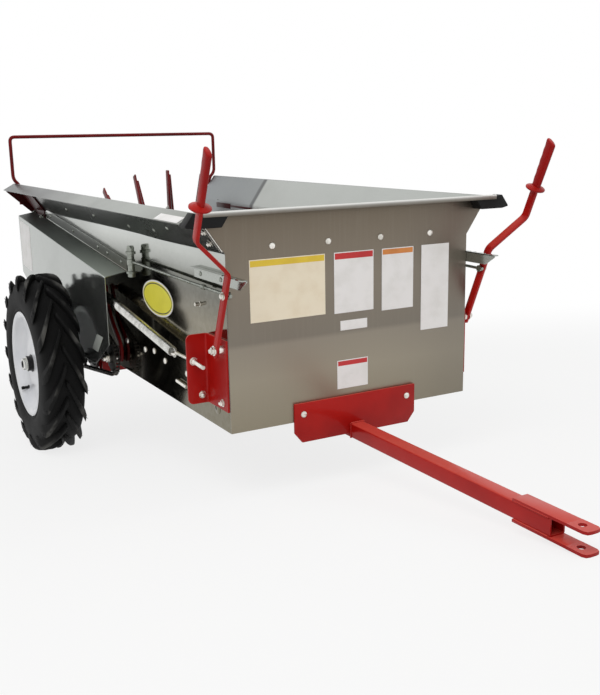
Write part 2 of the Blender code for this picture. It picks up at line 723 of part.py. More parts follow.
def build_tyre(side):
    """A ring of skewed cells; every fourth tread cell stands out as a lug, chevron fashion."""
    body = TYRE_RADIUS - LUG_HEIGHT
    seat = RIM_SEAT_RADIUS
    bead = RIM_HALF_WIDTH - RIM_FLANGE - FIT_GAP
    over_rim = RIM_RADIUS + FIT_GAP
    bulge_shares = ((0.93, 0.03), (1.0, 0.38), (0.97, 0.74))
    wall = [(TYRE_HALF_WIDTH * out, over_rim + (body - over_rim) * up) for out, up in bulge_shares]
    half = [(bead, seat), (bead, over_rim)] + wall + [(TREAD_HALF_WIDTH, body - LUG_HEIGHT / 3)]
    rows = [(-x, radius) for x, radius in half] + [(0, body)] + list(reversed(half))
    tread = len(half) - 1
    columns = LUGS_PER_SIDE * 4
    bm = bmesh.new()
    grid = []
    for i in range(columns):
        ring = []
        for x, radius in rows:
            sweep_share = min(abs(x) / TREAD_HALF_WIDTH, 1)
            angle = math.tau * i / columns + LUG_SWEEP * sweep_share
            ring.append(bm.verts.new((side["sign"] * (WHEEL_X + x), AXLE_Y + radius * math.cos(angle),
                                      AXLE_Z + radius * math.sin(angle))))
        grid.append(ring)
    lugs = []
    for i in range(columns):
        here = grid[i]
        ahead = grid[(i + 1) % columns]
        for k in range(len(rows)):
            j = (k + 1) % len(rows)
            face = bm.faces.new((here[k], here[j], ahead[j], ahead[k]))
            left_lug = k in (tread - 1, tread) and i % 4 == 0
            right_lug = k in (tread + 1, tread + 2) and i % 4 == 2
            if left_lug or right_lug:
                lugs.append(face)
    bmesh.ops.recalc_face_normals(bm, faces=bm.faces[:])
    raised = bmesh.ops.extrude_face_region(bm, geom=lugs)
    bmesh.ops.delete(bm, geom=lugs, context="FACES_ONLY")
    tops = [item for item in raised["geom"] if isinstance(item, bmesh.types.BMVert)]
    for vert in tops:
        out = Vector((0, vert.co.y - AXLE_Y, vert.co.z - AXLE_Z))
        across = abs(vert.co.x) - WHEEL_X
        reach = TYRE_RADIUS if abs(across) <= TREAD_HALF_WIDTH + FIT_GAP else body
        vert.co += out.normalized() * max(reach - out.length, 0)
        if abs(across) > TREAD_HALF_WIDTH - FIT_GAP:
            vert.co.x = side["sign"] * (WHEEL_X + math.copysign(LUG_HALF_WIDTH, across))
    centre = Vector((side["sign"] * WHEEL_X, AXLE_Y, AXLE_Z))
    node("tyre_" + side["name"], bm, "tyre_rubber", centre, smooth=True)


def tube_outline(half):
    """Square round the middle line of the tongue's tube, as (x, z)."""
    low = TUBE_CENTRE_Z - half
    high = TUBE_CENTRE_Z + half
    return [(-half, low), (half, low), (half, high), (-half, high)]


def build_hitch():
    half = HITCH_PLATE_HALF_WIDTH
    outline = [
        (-half + HITCH_CHAMFER_X, HITCH_PLATE_BOTTOM), (half - HITCH_CHAMFER_X, HITCH_PLATE_BOTTOM),
        (half, HITCH_PLATE_BOTTOM + HITCH_CHAMFER_Z), (half, HITCH_PLATE_TOP),
        (-half, HITCH_PLATE_TOP), (-half, HITCH_PLATE_BOTTOM + HITCH_CHAMFER_Z),
    ]
    rear = -SHEET - FIT_GAP
    bm = bmesh.new()
    prism(bm, outline, "y", rear - HITCH_PLATE_THICK, rear)
    node("hitch_plate", bm, "red_paint")
    front = rear - HITCH_PLATE_THICK - FIT_GAP
    half = TUBE / 2
    bm = bmesh.new()
    ring_prism(bm, tube_outline(half), tube_outline(half - TUBE_WALL), "y", TONGUE_END_Y, front)
    made = node("tongue", bm, "red_paint")
    tip_half = STRAP_HALF_WIDTH - STRAP_CHAMFER
    strap = [
        (-STRAP_HALF_WIDTH, STRAP_START_Y), (-STRAP_HALF_WIDTH, STRAP_TIP_Y + STRAP_CHAMFER),
        (-tip_half, STRAP_TIP_Y), (tip_half, STRAP_TIP_Y),
        (STRAP_HALF_WIDTH, STRAP_TIP_Y + STRAP_CHAMFER), (STRAP_HALF_WIDTH, STRAP_START_Y),
    ]
    for low in (TUBE_CENTRE_Z + half, TUBE_CENTRE_Z - half - STRAP_THICK):
        bm = bmesh.new()
        prism(bm, strap, "z", low, low + STRAP_THICK)
        weld(made, bm)
    hole_y = STRAP_TIP_Y + PIN_HOLE_SETBACK
    bore(made, (0, hole_y, TUBE_CENTRE_Z - TUBE), (0, hole_y, TUBE_CENTRE_Z + TUBE), PIN_HOLE_RADIUS, ROUND)


def build_underframe():
    half = TUBE / 2
    z_range = (TUBE_CENTRE_Z - half, TUBE_CENTRE_Z + half)
    reach = BOX_HALF_WIDTH
    front = -SHEET
    bm = bmesh.new()
    outline = [
        (-half, front), (half, front), (half, CROSSMEMBER_Y - half), (reach, CROSSMEMBER_Y - half),
        (reach, CROSSMEMBER_Y + half), (-reach, CROSSMEMBER_Y + half), (-reach, CROSSMEMBER_Y - half),
        (-half, CROSSMEMBER_Y - half),
    ]
    prism(bm, outline, "z", *z_range)
    node("underframe", bm, "red_paint")


def build_axle_bracket(side):
    sign = side["sign"]
    inner = BOX_HALF_WIDTH + FIT_GAP
    eye = arc((AXLE_Y, AXLE_Z), BRACKET_EYE_RADIUS, math.radians(-180), 0, EYE_STEPS)
    outline = eye + [(AXLE_Y + BRACKET_HALF_LENGTH, BRACKET_TOP), (AXLE_Y - BRACKET_HALF_LENGTH, BRACKET_TOP)]
    xs = sorted((sign * inner, sign * (inner + BRACKET_PLATE)))
    bm = bmesh.new()
    prism(bm, outline, "x", *xs)
    made = node("axle_bracket_" + side["name"], bm, "red_paint")
    ring = bmesh.new()
    start = inner + BRACKET_PLATE / 2
    profile = [(start, 0), (start, BEARING_RADIUS), (inner + BRACKET_PLATE + BEARING_DEPTH, BEARING_RADIUS),
               (inner + BRACKET_PLATE + BEARING_DEPTH, 0)]
    lathe(ring, profile, (0, AXLE_Y, AXLE_Z), (sign, 0, 0), ROUND, closed=False)
    weld(made, ring)
    bore(made, (0, AXLE_Y, AXLE_Z), (sign * GUARD_X, AXLE_Y, AXLE_Z), SHAFT_RADIUS + FIT_GAP, ROUND)
    shade_round(made)


def guard_top(y):
    share = (y - GUARD_FRONT_Y) / (GUARD_REAR_Y - GUARD_FRONT_Y)
    return GUARD_FRONT_TOP + (GUARD_REAR_TOP - GUARD_FRONT_TOP) * share


def build_chain_guard(side):
    sign = side["sign"]
    wall_x = BOX_HALF_WIDTH + FIT_GAP
    fold = GUARD_FRONT_TOP + GUARD_RISE
    line = [
        (wall_x, fold + GUARD_FLANGE), (wall_x, fold),
        (GUARD_X - GUARD_SHEET, GUARD_FRONT_TOP), (GUARD_X - GUARD_SHEET, -fold),
    ]
    bm = bmesh.new()
    sheared_prism(bm, mirrored(skin(line, GUARD_SHEET), sign), GUARD_FRONT_Y, GUARD_REAR_Y,
                  GUARD_REAR_TOP - GUARD_FRONT_TOP)
    made = node("chain_guard_" + side["name"], bm, "galvanised")
    outline = [
        (GUARD_FRONT_Y, GUARD_FRONT_CORNER_Z), (GUARD_CHAMFER_Y, GUARD_BOTTOM),
        (GUARD_REAR_SLOPE_Y, GUARD_BOTTOM), (GUARD_REAR_Y, GUARD_REAR_CORNER_Z),
        (GUARD_REAR_Y, FLARE_HEIGHT - FIT_GAP), (GUARD_FRONT_Y, FLARE_HEIGHT - FIT_GAP),
    ]
    keep = bmesh.new()
    xs = sorted((sign * (wall_x - SHEET), sign * (GUARD_X + SHEET)))
    prism(keep, outline, "x", *xs)
    combine(made, helper("keep", keep), "INTERSECT")
    notch = bmesh.new()
    xs = sorted((sign * (wall_x - SHEET), sign * (wall_x + REAR_PLATE_METAL + SHEET)))
    block(notch, xs, (REAR_PLATE_FRONT_Y - SHEET, BOX_LENGTH), (0, LIP_HEIGHT))
    combine(made, helper("notch", notch), "DIFFERENCE")


def build_chain(side):
    driven = DRIVEN[side["driven"]]
    wheels = [
        (AXLE_Y, AXLE_Z, AXLE_SPROCKET_RADIUS + CHAIN_CLEAR),
        (driven[0], driven[1], driven[2] + CHAIN_CLEAR),
        (IDLER_Y, IDLER_Z, IDLER_RADIUS + CHAIN_CLEAR),
    ]
    bm = bmesh.new()
    low = side["sign"] * DRIVE_X - CHAIN_WIDTH / 2
    ring_prism(bm, belt(wheels, CHAIN_THICK, DRIVE_BELT_STEPS), belt(wheels, 0, DRIVE_BELT_STEPS), "x",
               low, low + CHAIN_WIDTH)
    node("drive_chain_" + side["name"], bm, "black_steel")


def build_idler(side):
    sign = side["sign"]
    bm = bmesh.new()
    low = sign * DRIVE_X - SPROCKET_WIDTH / 2
    prism(bm, toothed((IDLER_Y, IDLER_Z), IDLER_RADIUS, tooth_count(IDLER_RADIUS)), "x",
          low, low + SPROCKET_WIDTH)
    made = node("idler_sprocket_" + side["name"], bm, "black_steel")
    pin = bmesh.new()
    inner = ARM_INNER_X + ARM_THICK + FIT_GAP
    rod(pin, (sign * inner, IDLER_Y, IDLER_Z), (sign * IDLER_PIN_OUTER_X, IDLER_Y, IDLER_Z),
        IDLER_PIN_RADIUS)
    weld(made, pin)
    bm = bmesh.new()
    middle = sign * (ARM_INNER_X + ARM_THICK / 2)
    curve_shares = ((1.0, 1.0), (0.80, 0.70), (0.36, 0.44), (-0.10, 0.27), (-0.29, 0.12), (-0.20, -0.01),
                    (0.05, 0.0))
    span_y = ARM_HOOK_Y - IDLER_Y
    span_z = ARM_HOOK_Z - IDLER_Z
    path = [(middle, IDLER_Y + span_y * out, IDLER_Z + span_z * up) for out, up in curve_shares]
    sweep(bm, path, flat_section(ARM_THICK / 2, ARM_WIDTH / 2), (1, 0, 0))
    arm = node("idler_arm_" + side["name"], bm, "red_paint")
    hook = bmesh.new()
    hook_end = ARM_INNER_X + ARM_THICK + ARM_HOOK_REACH
    rod(hook, (middle, ARM_HOOK_Y, ARM_HOOK_Z), (sign * hook_end, ARM_HOOK_Y, ARM_HOOK_Z),
        ARM_HOOK_RADIUS)
    weld(arm, hook)


def build_corner_bracket(side):
    sign = side["sign"]
    inner = BOX_HALF_WIDTH + FIT_GAP
    outline = [
        (inner, FIT_GAP), (inner + CORNER_METAL, FIT_GAP),
        (inner + CORNER_METAL, CORNER_LENGTH - CORNER_METAL),
        (inner + CORNER_REACH, CORNER_LENGTH - CORNER_METAL), (inner + CORNER_REACH, CORNER_LENGTH),
        (inner, CORNER_LENGTH),
    ]
    bm = bmesh.new()
    prism(bm, [(sign * x, y) for x, y in outline], "z", CORNER_BOTTOM, CORNER_TOP)
    corner = []
    for edge in bm.edges:
        ends = [vert.co for vert in edge.verts]
        at_top = all(abs(end.z - CORNER_TOP) < FIT_GAP for end in ends)
        at_side = all(abs(abs(end.x) - inner - CORNER_REACH) < FIT_GAP for end in ends)
        if at_top and at_side:
            corner.append(edge)
    bmesh.ops.bevel(bm, geom=corner, offset=CORNER_ROUND, segments=CORNER_STEPS, profile=0.5, affect="EDGES",
                    material=-1)
    made = node("corner_bracket_" + side["name"], bm, "red_paint")
    x = sign * EYEBOLT_X
    bore(made, (x, EYEBOLT_FRONT_Y, EYEBOLT_Z), (x, SPRING_START_Y, EYEBOLT_Z), EYEBOLT_RADIUS + FIT_GAP)
    y_pivot = PIVOT_Y
    rod_bm = bmesh.new()
    rod(rod_bm, (sign * (inner + CORNER_METAL / 2), y_pivot, PIVOT_Z),
        (sign * (PIVOT_X + LEVER_THICK / 2 + NUT_DEPTH), y_pivot, PIVOT_Z), SHAFT_RADIUS / 2)
    weld(made, rod_bm)


def build_spring(side):
    sign = side["sign"]
    x = sign * EYEBOLT_X
    start = Vector((x, SPRING_START_Y, SPRING_START_Z))
    rise = (Vector((x, ARM_HOOK_Y, ARM_HOOK_Z)) - start).normalized()
    stop = Vector((x, ARM_HOOK_Y, ARM_HOOK_Z)) - rise * (ARM_HOOK_RADIUS + FIT_GAP)
    neck = rise * SPRING_RADIUS
    bm = bmesh.new()
    rod(bm, start, stop - neck, SPRING_RADIUS)
    made = node("tension_spring_" + side["name"], bm, "zinc", smooth=True)
    hook = bmesh.new()
    rod(hook, stop - neck - neck, stop, EYEBOLT_RADIUS)
    weld(made, hook)
    bolt = bmesh.new()
    eye = Vector((x, CORNER_LENGTH, EYEBOLT_Z))
    path = [(x, EYEBOLT_FRONT_Y, EYEBOLT_Z), eye, start + neck]
    sweep(bolt, path, round_section(EYEBOLT_RADIUS), (1, 0, 0))
    weld(made, bolt)
    nut = bmesh.new()
    front = CORNER_LENGTH - CORNER_METAL - FIT_GAP
    rod(nut, (x, front - NUT_DEPTH, EYEBOLT_Z), (x, front, EYEBOLT_Z), NUT_RADIUS, 6)
    weld(made, nut)
    shade_round(made)


def build_lever(side):
    sign = side["sign"]
    up = Vector((0, -math.sin(LEVER_LEAN), math.cos(LEVER_LEAN)))
    out = Vector((sign, 0, 0))
    pivot = Vector((0, PIVOT_Y, PIVOT_Z))
    outer_x = PIVOT_X + LEVER_OUTER_REACH
    path = [
        pivot - up * LEVER_HEEL + out * PIVOT_X,
        pivot + up * LEVER_KINK + out * PIVOT_X,
        pivot + up * LEVER_ELBOW + out * outer_x,
        pivot + up * (GRIP_START + GRIP_RADIUS) + out * outer_x,
    ]
    bm = bmesh.new()
    across = up.cross(out)
    sweep(bm, path, flat_section(LEVER_WIDTH / 2, LEVER_THICK / 2), across)
    origin = pivot + out * PIVOT_X
    made = node("lever_" + side["name"], bm, "red_paint", origin)
    grip = bmesh.new()
    start = pivot + up * GRIP_START + out * outer_x
    length = GRIP_END - GRIP_START
    profile = [
        (0, 0), (0, GRIP_FLANGE_RADIUS), (GRIP_FLANGE_THICK, GRIP_FLANGE_RADIUS),
        (GRIP_FLANGE_THICK, GRIP_RADIUS), (length - GRIP_RADIUS / 2, GRIP_RADIUS), (length, GRIP_RADIUS / 2),
        (length, 0),
    ]
    lathe(grip, profile, start, up, ROUND, closed=False)
    weld(made, grip)
    rod_pin = bmesh.new()
    hold = pivot + up * (ROD_PIN_HEIGHT / math.cos(LEVER_LEAN))
    pin_start = BOX_HALF_WIDTH + ROD_OFFSET + ROD_RADIUS + FIT_GAP
    rod(rod_pin, hold + out * pin_start, hold + out * (PIVOT_X + LEVER_THICK / 2 + NUT_DEPTH),
        ROD_PIN_RADIUS)
    weld(made, rod_pin)
    pin_radius = SHAFT_RADIUS / 2 + BEARING_GAP
    reach = out * LEVER_WIDTH
    bore(made, origin - reach, origin + reach, pin_radius)
    shade_round(made)


def build_guide(side):
    sign = side["sign"]
    inner = BOX_HALF_WIDTH + FIT_GAP
    line = [(inner, GUIDE_TOP_Z - GUIDE_HEIGHT), (inner, GUIDE_TOP_Z), (inner + GUIDE_REACH, GUIDE_TOP_Z)]
    bm = bmesh.new()
    prism(bm, mirrored(skin(line, -GUIDE_METAL), sign), "y", GUIDE_FRONT_Y, GUIDE_REAR_Y)
    made = node("notch_guide_" + side["name"], bm, "galvanised")
    edge = inner + GUIDE_REACH
    xs = sorted((sign * (edge - NOTCH_DEPTH), sign * (edge + NOTCH_DEPTH)))
    for step in NOTCH_STEPS:
        slot = bmesh.new()
        y = NOTCH_FIRST_Y + step
        block(slot, xs, (y - NOTCH_WIDTH / 2, y + NOTCH_WIDTH / 2),
              (GUIDE_TOP_Z - GUIDE_HEIGHT, GUIDE_TOP_Z + GUIDE_METAL))
        combine(made, helper("slot", slot), "DIFFERENCE")


def build_control_rod(side):
    sign = side["sign"]
    pin_y = PIVOT_Y - ROD_PIN_HEIGHT * math.tan(LEVER_LEAN)
    front = Vector((sign * (BOX_HALF_WIDTH + ROD_OFFSET), pin_y - ROD_OVERHANG, PIVOT_Z + ROD_PIN_HEIGHT))
    rear = Vector((sign * (BOX_HALF_WIDTH + STUD_OFFSET), STUD_Y, PIVOT_Z + ROD_PIN_HEIGHT + ROD_RISE))
    bm = bmesh.new()
    rod(bm, front, rear, ROD_RADIUS)
    made = node("control_rod_" + side["name"], bm, "zinc", front, smooth=True)
    stud = bmesh.new()
    step = COLLAR_HEIGHT
    reach = STUD_HALF_HEIGHT + STUD_HALF_HEIGHT
    profile = [
        (0, 0), (0, STUD_RADIUS), (step, STUD_RADIUS), (step, COLLAR_RADIUS), (step + step, COLLAR_RADIUS),
        (step + step, STUD_RADIUS), (reach - step - step, STUD_RADIUS), (reach - step - step, COLLAR_RADIUS),
        (reach - step, COLLAR_RADIUS), (reach - step, STUD_RADIUS), (reach, STUD_RADIUS), (reach, 0),
    ]
    lathe(stud, profile, rear - Vector((0, 0, STUD_HALF_HEIGHT)), (0, 0, 1), ROD_ROUND, closed=False)
    weld(made, stud)
    shade_round(made)


def build_rear_plate(side):
    sign = side["sign"]
    inner = BOX_HALF_WIDTH + FIT_GAP
    top = LIP_HEIGHT - LIP_DROP - SHEET
    line = [(inner, REAR_PLATE_BOTTOM), (inner, FLARE_HEIGHT), (flare_x(top) + FIT_GAP, top)]
    outline = skin(line, -REAR_PLATE_METAL)
    bm = bmesh.new()
    prism(bm, mirrored(outline, sign), "y", REAR_PLATE_FRONT_Y, BOX_LENGTH)
    made = node("rear_plate_" + side["name"], bm, "red_paint")
    gusset = bmesh.new()
    start = inner + REAR_PLATE_METAL / 2
    outer = BOX_HALF_WIDTH + FLARE_OVERHANG + LIP_REACH - SHEET - SHEET
    web = [(start, guard_top(GUARD_REAR_Y)), (outer, top),
           (flare_x(top) + REAR_PLATE_METAL / 2, top), (start, FLARE_HEIGHT)]
    prism(gusset, mirrored(web, sign), "y", BOX_LENGTH - REAR_PLATE_METAL, BOX_LENGTH)
    weld(made, gusset)
    ring = bmesh.new()
    depth = inner + REAR_PLATE_METAL
    profile = [(depth - REAR_PLATE_METAL / 2, 0), (depth - REAR_PLATE_METAL / 2, REAR_BEARING_RADIUS),
               (depth + REAR_BEARING_DEPTH, REAR_BEARING_RADIUS), (depth + REAR_BEARING_DEPTH, 0)]
    lathe(ring, profile, (0, BEATER_Y, BEATER_Z), (sign, 0, 0), ROUND, closed=False)
    weld(made, ring)
    bore(made, (0, BEATER_Y, BEATER_Z), (sign * GUARD_X, BEATER_Y, BEATER_Z), SHAFT_RADIUS + BEARING_GAP, ROUND)
    shade_round(made)


def build_hoop():
    y = BOX_LENGTH + FIT_GAP + HOOP_RADIUS
    foot_x = BOX_HALF_WIDTH + HOOP_FOOT_OVERHANG
    leg_x = BOX_HALF_WIDTH + HOOP_OVERHANG
    corner = (leg_x - HOOP_CORNER, LIP_HEIGHT + HOOP_RISE - HOOP_CORNER)
    right = [
        (foot_x, LIP_HEIGHT - HOOP_FOOT_DROP), (foot_x, LIP_HEIGHT), (leg_x, LIP_HEIGHT + HOOP_KINK_RISE),
    ] + arc(corner, HOOP_CORNER, 0, math.radians(90), HOOP_STEPS)
    left = [(-x, z) for x, z in reversed(right)]
    path = [(x, y, z) for x, z in right + left]
    bm = bmesh.new()
    sweep(bm, path, round_section(HOOP_RADIUS), (0, 1, 0))
    node("rear_hoop", bm, "red_paint", smooth=True)


def build_beater():
    centre = Vector((0, BEATER_Y, BEATER_Z))
    end = BEATER_HALF_LENGTH
    tube = BEATER_TUBE_HALF_LENGTH
    profile = [
        (-DRIVE_X - SPROCKET_WIDTH, 0), (-DRIVE_X - SPROCKET_WIDTH, SHAFT_RADIUS), (-tube, SHAFT_RADIUS),
        (-tube, BEATER_TUBE_RADIUS), (tube, BEATER_TUBE_RADIUS), (tube, SHAFT_RADIUS),
        (end, SHAFT_RADIUS), (end, 0),
    ]
    bm = bmesh.new()
    lathe(bm, profile, centre, (1, 0, 0), ROUND, closed=False)
    made = node("beater", bm, "red_paint", centre, smooth=True)
    first = -PADDLE_PITCH * (PADDLE_STATIONS - 1) / 2
    for i in range(PADDLE_STATIONS):
        x = first + PADDLE_PITCH * i
        turn = PADDLE_STEP * (PADDLE_STATIONS - 2 - i)
        bars = bmesh.new()
        for flip in (0, math.pi):
            angle = turn + flip
            out = Vector((0, math.sin(angle), math.cos(angle)))
            add_paddle(bars, centre + Vector((x, 0, 0)), out)
        weld(made, bars)
    shade_round(made)


def build_beater_sprocket():
    """It stays with its chain: the clutch is out, and the shaft turns inside it."""
    bm = bmesh.new()
    low = -DRIVE_X - SPROCKET_WIDTH / 2
    prism(bm, toothed((BEATER_Y, BEATER_Z), BEATER_SPROCKET_RADIUS, tooth_count(BEATER_SPROCKET_RADIUS)),
          "x", low, low + SPROCKET_WIDTH)
    made = node("beater_sprocket", bm, "black_steel")
    bore(made, (-GUARD_X, BEATER_Y, BEATER_Z), (0, BEATER_Y, BEATER_Z), SHAFT_RADIUS + BEARING_GAP, ROUND)


def add_paddle(bm, foot, out):
    """A long flat bar square to the shaft and a shorter one beside it, a little splayed."""
    beside = Vector((1, 0, 0))
    gap = beside * (PADDLE_THICK + FIT_GAP)
    root_out = out * (BEATER_TUBE_RADIUS / 2)
    sweep(bm, [foot + root_out, foot + out * BEATER_RADIUS],
          flat_section(PADDLE_THICK / 2, PADDLE_WIDTH / 2), beside)
    lean = (out + out.cross(beside) * math.tan(PADDLE_SPLAY)).normalized()
    sweep(bm, [foot + gap + lean * (BEATER_TUBE_RADIUS / 2), foot + gap + lean * BEATER_RADIUS * PADDLE_SHORT_SHARE],
          flat_section(PADDLE_THICK / 2, PADDLE_WIDTH / 2), beside)


def park():
    """Turns the level machine nose down on its tyres and its tongue, then centres it."""
    tip = Vector((STRAP_TIP_Y, TUBE_CENTRE_Z - TUBE / 2 - STRAP_THICK))
    run = AXLE_Y - tip.x
    drop = AXLE_Z - tip.y
    tilt = math.asin(TYRE_RADIUS / math.hypot(run, drop)) - math.atan2(drop, run)
    root.rotation_euler = (tilt, 0, 0)
    bpy.context.view_layer.update()
    corners = [made.matrix_world @ vert.co for made in bpy.data.objects if made.type == "MESH"
               for vert in made.data.vertices]
    front = min(corner.y for corner in corners)
    rear = max(corner.y for corner in corners)
    low = min(corner.z for corner in corners)
    root.location = (0, -(front + rear) / 2, -low)
    bpy.context.view_layer.update()
    print("parked: tilt", round(math.degrees(tilt), 4), "shift", [round(v, 5) for v in root.location])


def main():
    global root
    clear_scene()
    make_materials()
    root = bpy.data.objects.new("parked_frame", None)
    bpy.context.scene.collection.objects.link(root)
    build_front_panel()
    build_floor()
    build_apron()
    build_apron_shafts()
    build_axle()
    build_hitch()
    build_underframe()
    build_hoop()
    build_beater()
    build_beater_sprocket()
    for side in SIDES:
        build_box_side(side)
        build_corner_cap(side)
        build_floor_rail(side)
        build_rim(side)
        build_hub(side)
        build_tyre(side)
        build_axle_bracket(side)
        build_chain_guard(side)
        build_chain(side)
        build_idler(side)
        build_corner_bracket(side)
        build_spring(side)
        build_lever(side)
        build_guide(side)
        build_control_rod(side)
        build_rear_plate(side)
    park()


main()
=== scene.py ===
import json
import math

import bmesh
import bpy
from mathutils import Euler, Matrix, Vector


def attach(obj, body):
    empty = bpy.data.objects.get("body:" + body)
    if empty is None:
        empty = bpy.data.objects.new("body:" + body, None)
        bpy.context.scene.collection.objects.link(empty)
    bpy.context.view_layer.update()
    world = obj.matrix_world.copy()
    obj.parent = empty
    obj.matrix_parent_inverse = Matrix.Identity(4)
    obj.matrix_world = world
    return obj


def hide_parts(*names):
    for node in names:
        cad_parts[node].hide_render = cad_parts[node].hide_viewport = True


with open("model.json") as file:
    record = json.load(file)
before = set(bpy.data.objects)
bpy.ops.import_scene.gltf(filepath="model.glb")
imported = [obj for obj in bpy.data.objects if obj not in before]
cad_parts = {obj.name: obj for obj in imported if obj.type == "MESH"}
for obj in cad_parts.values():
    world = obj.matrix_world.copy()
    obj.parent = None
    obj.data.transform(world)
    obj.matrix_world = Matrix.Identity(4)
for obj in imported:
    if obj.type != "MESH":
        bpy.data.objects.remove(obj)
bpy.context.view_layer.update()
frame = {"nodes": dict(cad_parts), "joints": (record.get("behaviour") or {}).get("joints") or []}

# The machine is modelled level (X across, Y rearward from the front panel, Z up from the
# bottom edge of the box) and every finished mesh is then set down nose first, as it parks.
joints = {joint["name"]: joint for joint in frame["joints"]}
slideAxis = joints["control_rod_left_slide"]["axis"]
tilt = math.atan2(slideAxis[2], slideAxis[1])
wheelCentre = (0.514, 1.063, -0.021)
levelWheel = Vector((-wheelCentre[0], wheelCentre[1], wheelCentre[2]))
turn = Matrix.Rotation(tilt, 4, "X")
shift = Vector(joints["wheel_left_spin"]["pos_m"]) - turn @ levelWheel
parked = Matrix.Translation(shift) @ turn
sides = (("left", -1), ("right", 1))
print("frame loaded,", len(frame["nodes"]), "nodes, nose down by", round(math.degrees(tilt), 2), "degrees")

# ---- camera, world, floor, lamps

view = {
    "eye": (-1.216374, -1.89405, 0.687261),
    "turn": (76.9614, 0.9905, -29.4828),
    "lens": 48.04,
}


def addCamera():
    data = bpy.data.cameras.new("photoView")
    data.lens = view["lens"]
    data.sensor_width = 36
    data.sensor_fit = "AUTO"
    camera = bpy.data.objects.new("photoView", data)
    bpy.context.scene.collection.objects.link(camera)
    look = Euler([math.radians(angle) for angle in view["turn"]]).to_matrix().to_4x4()
    camera.matrix_world = parked @ Matrix.Translation(view["eye"]) @ look
    bpy.context.scene.camera = camera


# a socket that can be used in sums, so that shader maths reads as plain expressions
class Wire:
    def __init__(self, tree, socket):
        self.tree = tree
        self.socket = socket

    def work(self, operation, other, flip=False):
        node = self.tree.nodes.new("ShaderNodeMath")
        node.operation = operation
        places = (1, 0) if flip else (0, 1)
        for place, value in zip(places, (self, other)):
            if isinstance(value, Wire):
                self.tree.links.new(value.socket, node.inputs[place])
            else:
                node.inputs[place].default_value = value
        return Wire(self.tree, node.outputs[0])

    def __add__(self, other):
        return self.work("ADD", other)

    def __radd__(self, other):
        return self.work("ADD", other, True)

    def __sub__(self, other):
        return self.work("SUBTRACT", other)

    def __rsub__(self, other):
        return self.work("SUBTRACT", other, True)

    def __mul__(self, other):
        return self.work("MULTIPLY", other)

    def __rmul__(self, other):
        return self.work("MULTIPLY", other, True)


class Graph:
    def __init__(self, tree):
        self.tree = tree

    # any node: its type, its settings (a ramp's stops among them), then its sockets
    def add(self, kind, settings=None, sockets=None, out=0):
        node = self.tree.nodes.new(kind)
        for key, value in (settings or {}).items():
            if key == "stops":
                self.setStops(node.color_ramp, value)
            else:
                setattr(node, key, value)
        for key, value in (sockets or {}).items():
            if isinstance(value, Wire):
                self.tree.links.new(value.socket, node.inputs[key])
            else:
                node.inputs[key].default_value = value
        return Wire(self.tree, node.outputs[out])

    def setStops(self, ramp, stops):
        while len(ramp.elements) < len(stops):
            ramp.elements.new(1)
        for element, (place, colour) in zip(ramp.elements, stops):
            element.position = place
            element.color = colour

    def mix(self, factor, first, second):
        return self.add("ShaderNodeMix", {"data_type": "RGBA"}, {0: factor, 6: first, 7: second}, 2)

    def band(self, value, low, high, **ends):
        sockets = {"Value": value, "From Min": low, "From Max": high}
        for key, end in ends.items():
            sockets["To " + key] = end
        return self.add("ShaderNodeMapRange", {"interpolation_type": "SMOOTHSTEP"}, sockets)

    def whiteRays(self):
        # 1 where the camera or a reflection looks, 0 where light is gathered
        rays = [self.add("ShaderNodeLightPath", out=name)
                for name in ("Is Camera Ray", "Is Glossy Ray", "Is Transmission Ray")]
        return rays[0] + rays[1] + rays[2]


class Finish(Graph):
    def __init__(self, name, **fixed):
        self.material = bpy.data.materials.new(name)
        self.material.use_nodes = True
        Graph.__init__(self, self.material.node_tree)
        self.shader = self.tree.nodes["Principled BSDF"]
        for key, value in fixed.items():
            self.shader.inputs[key.replace("_", " ")].default_value = value
        here = self.add("ShaderNodeTexCoord", out="Object")
        # the level machine's own coordinates: x across, y rearward, z up
        self.spot = self.add("ShaderNodeMapping", {"vector_type": "TEXTURE"},
                             {"Vector": here, "Location": shift, "Rotation": (tilt, 0, 0)})
        self.x, self.y, self.z = (self.add("ShaderNodeSeparateXYZ", None, {0: self.spot}, i) for i in range(3))

    def noise(self, scale, detail=3, stretch=None, rough=0.5):
        spot = self.spot
        if stretch:
            spot = self.add("ShaderNodeMapping", None, {"Vector": self.spot, "Scale": stretch})
        return self.add("ShaderNodeTexNoise", None,
                        {"Vector": spot, "Scale": scale, "Detail": detail, "Roughness": rough})

    def ramp(self, value, stops):
        return self.add("ShaderNodeValToRGB", {"stops": stops}, {"Fac": value})

    def bump(self, height, strength, distance):
        return self.add("ShaderNodeBump", None,
                        {"Height": height, "Strength": strength, "Distance": distance})

    def feed(self, **wires):
        for key, wire in wires.items():
            self.tree.links.new(wire.socket, self.shader.inputs[key.replace("_", " ")])
        return self.material


def tone(red, green, blue):
    # a colour as the screen shows it, 0 to 255, turned into the values a socket takes
    return tuple(((value / 255 + 0.055) / 1.055) ** 2.4 for value in (red, green, blue)) + (1,)


light = {
    "skyStrength": 0.52,
    "lamps": (("keyLamp", (-1.7, -2.1, 3.0), 44, 2.6), ("fillLamp", (2.6, -1.2, 2.2), 14, 2.0)),
    "lampAim": (0, 0.1, 0.4),
    "floorRadius": 14,
    "floorTone": (236, 236, 235),
    "floorGlow": 0.80,
    "floorFade": (1.6, 4.5),
}


def addWorld():
    world = bpy.data.worlds.new("studio")
    world.use_nodes = True
    bpy.context.scene.world = world
    graph = Graph(world.node_tree)
    strength = graph.whiteRays() * (1 - light["skyStrength"]) + light["skyStrength"]
    back = graph.tree.nodes["Background"]
    back.inputs["Color"].default_value = (1, 1, 1, 1)
    graph.tree.links.new(strength.socket, back.inputs["Strength"])


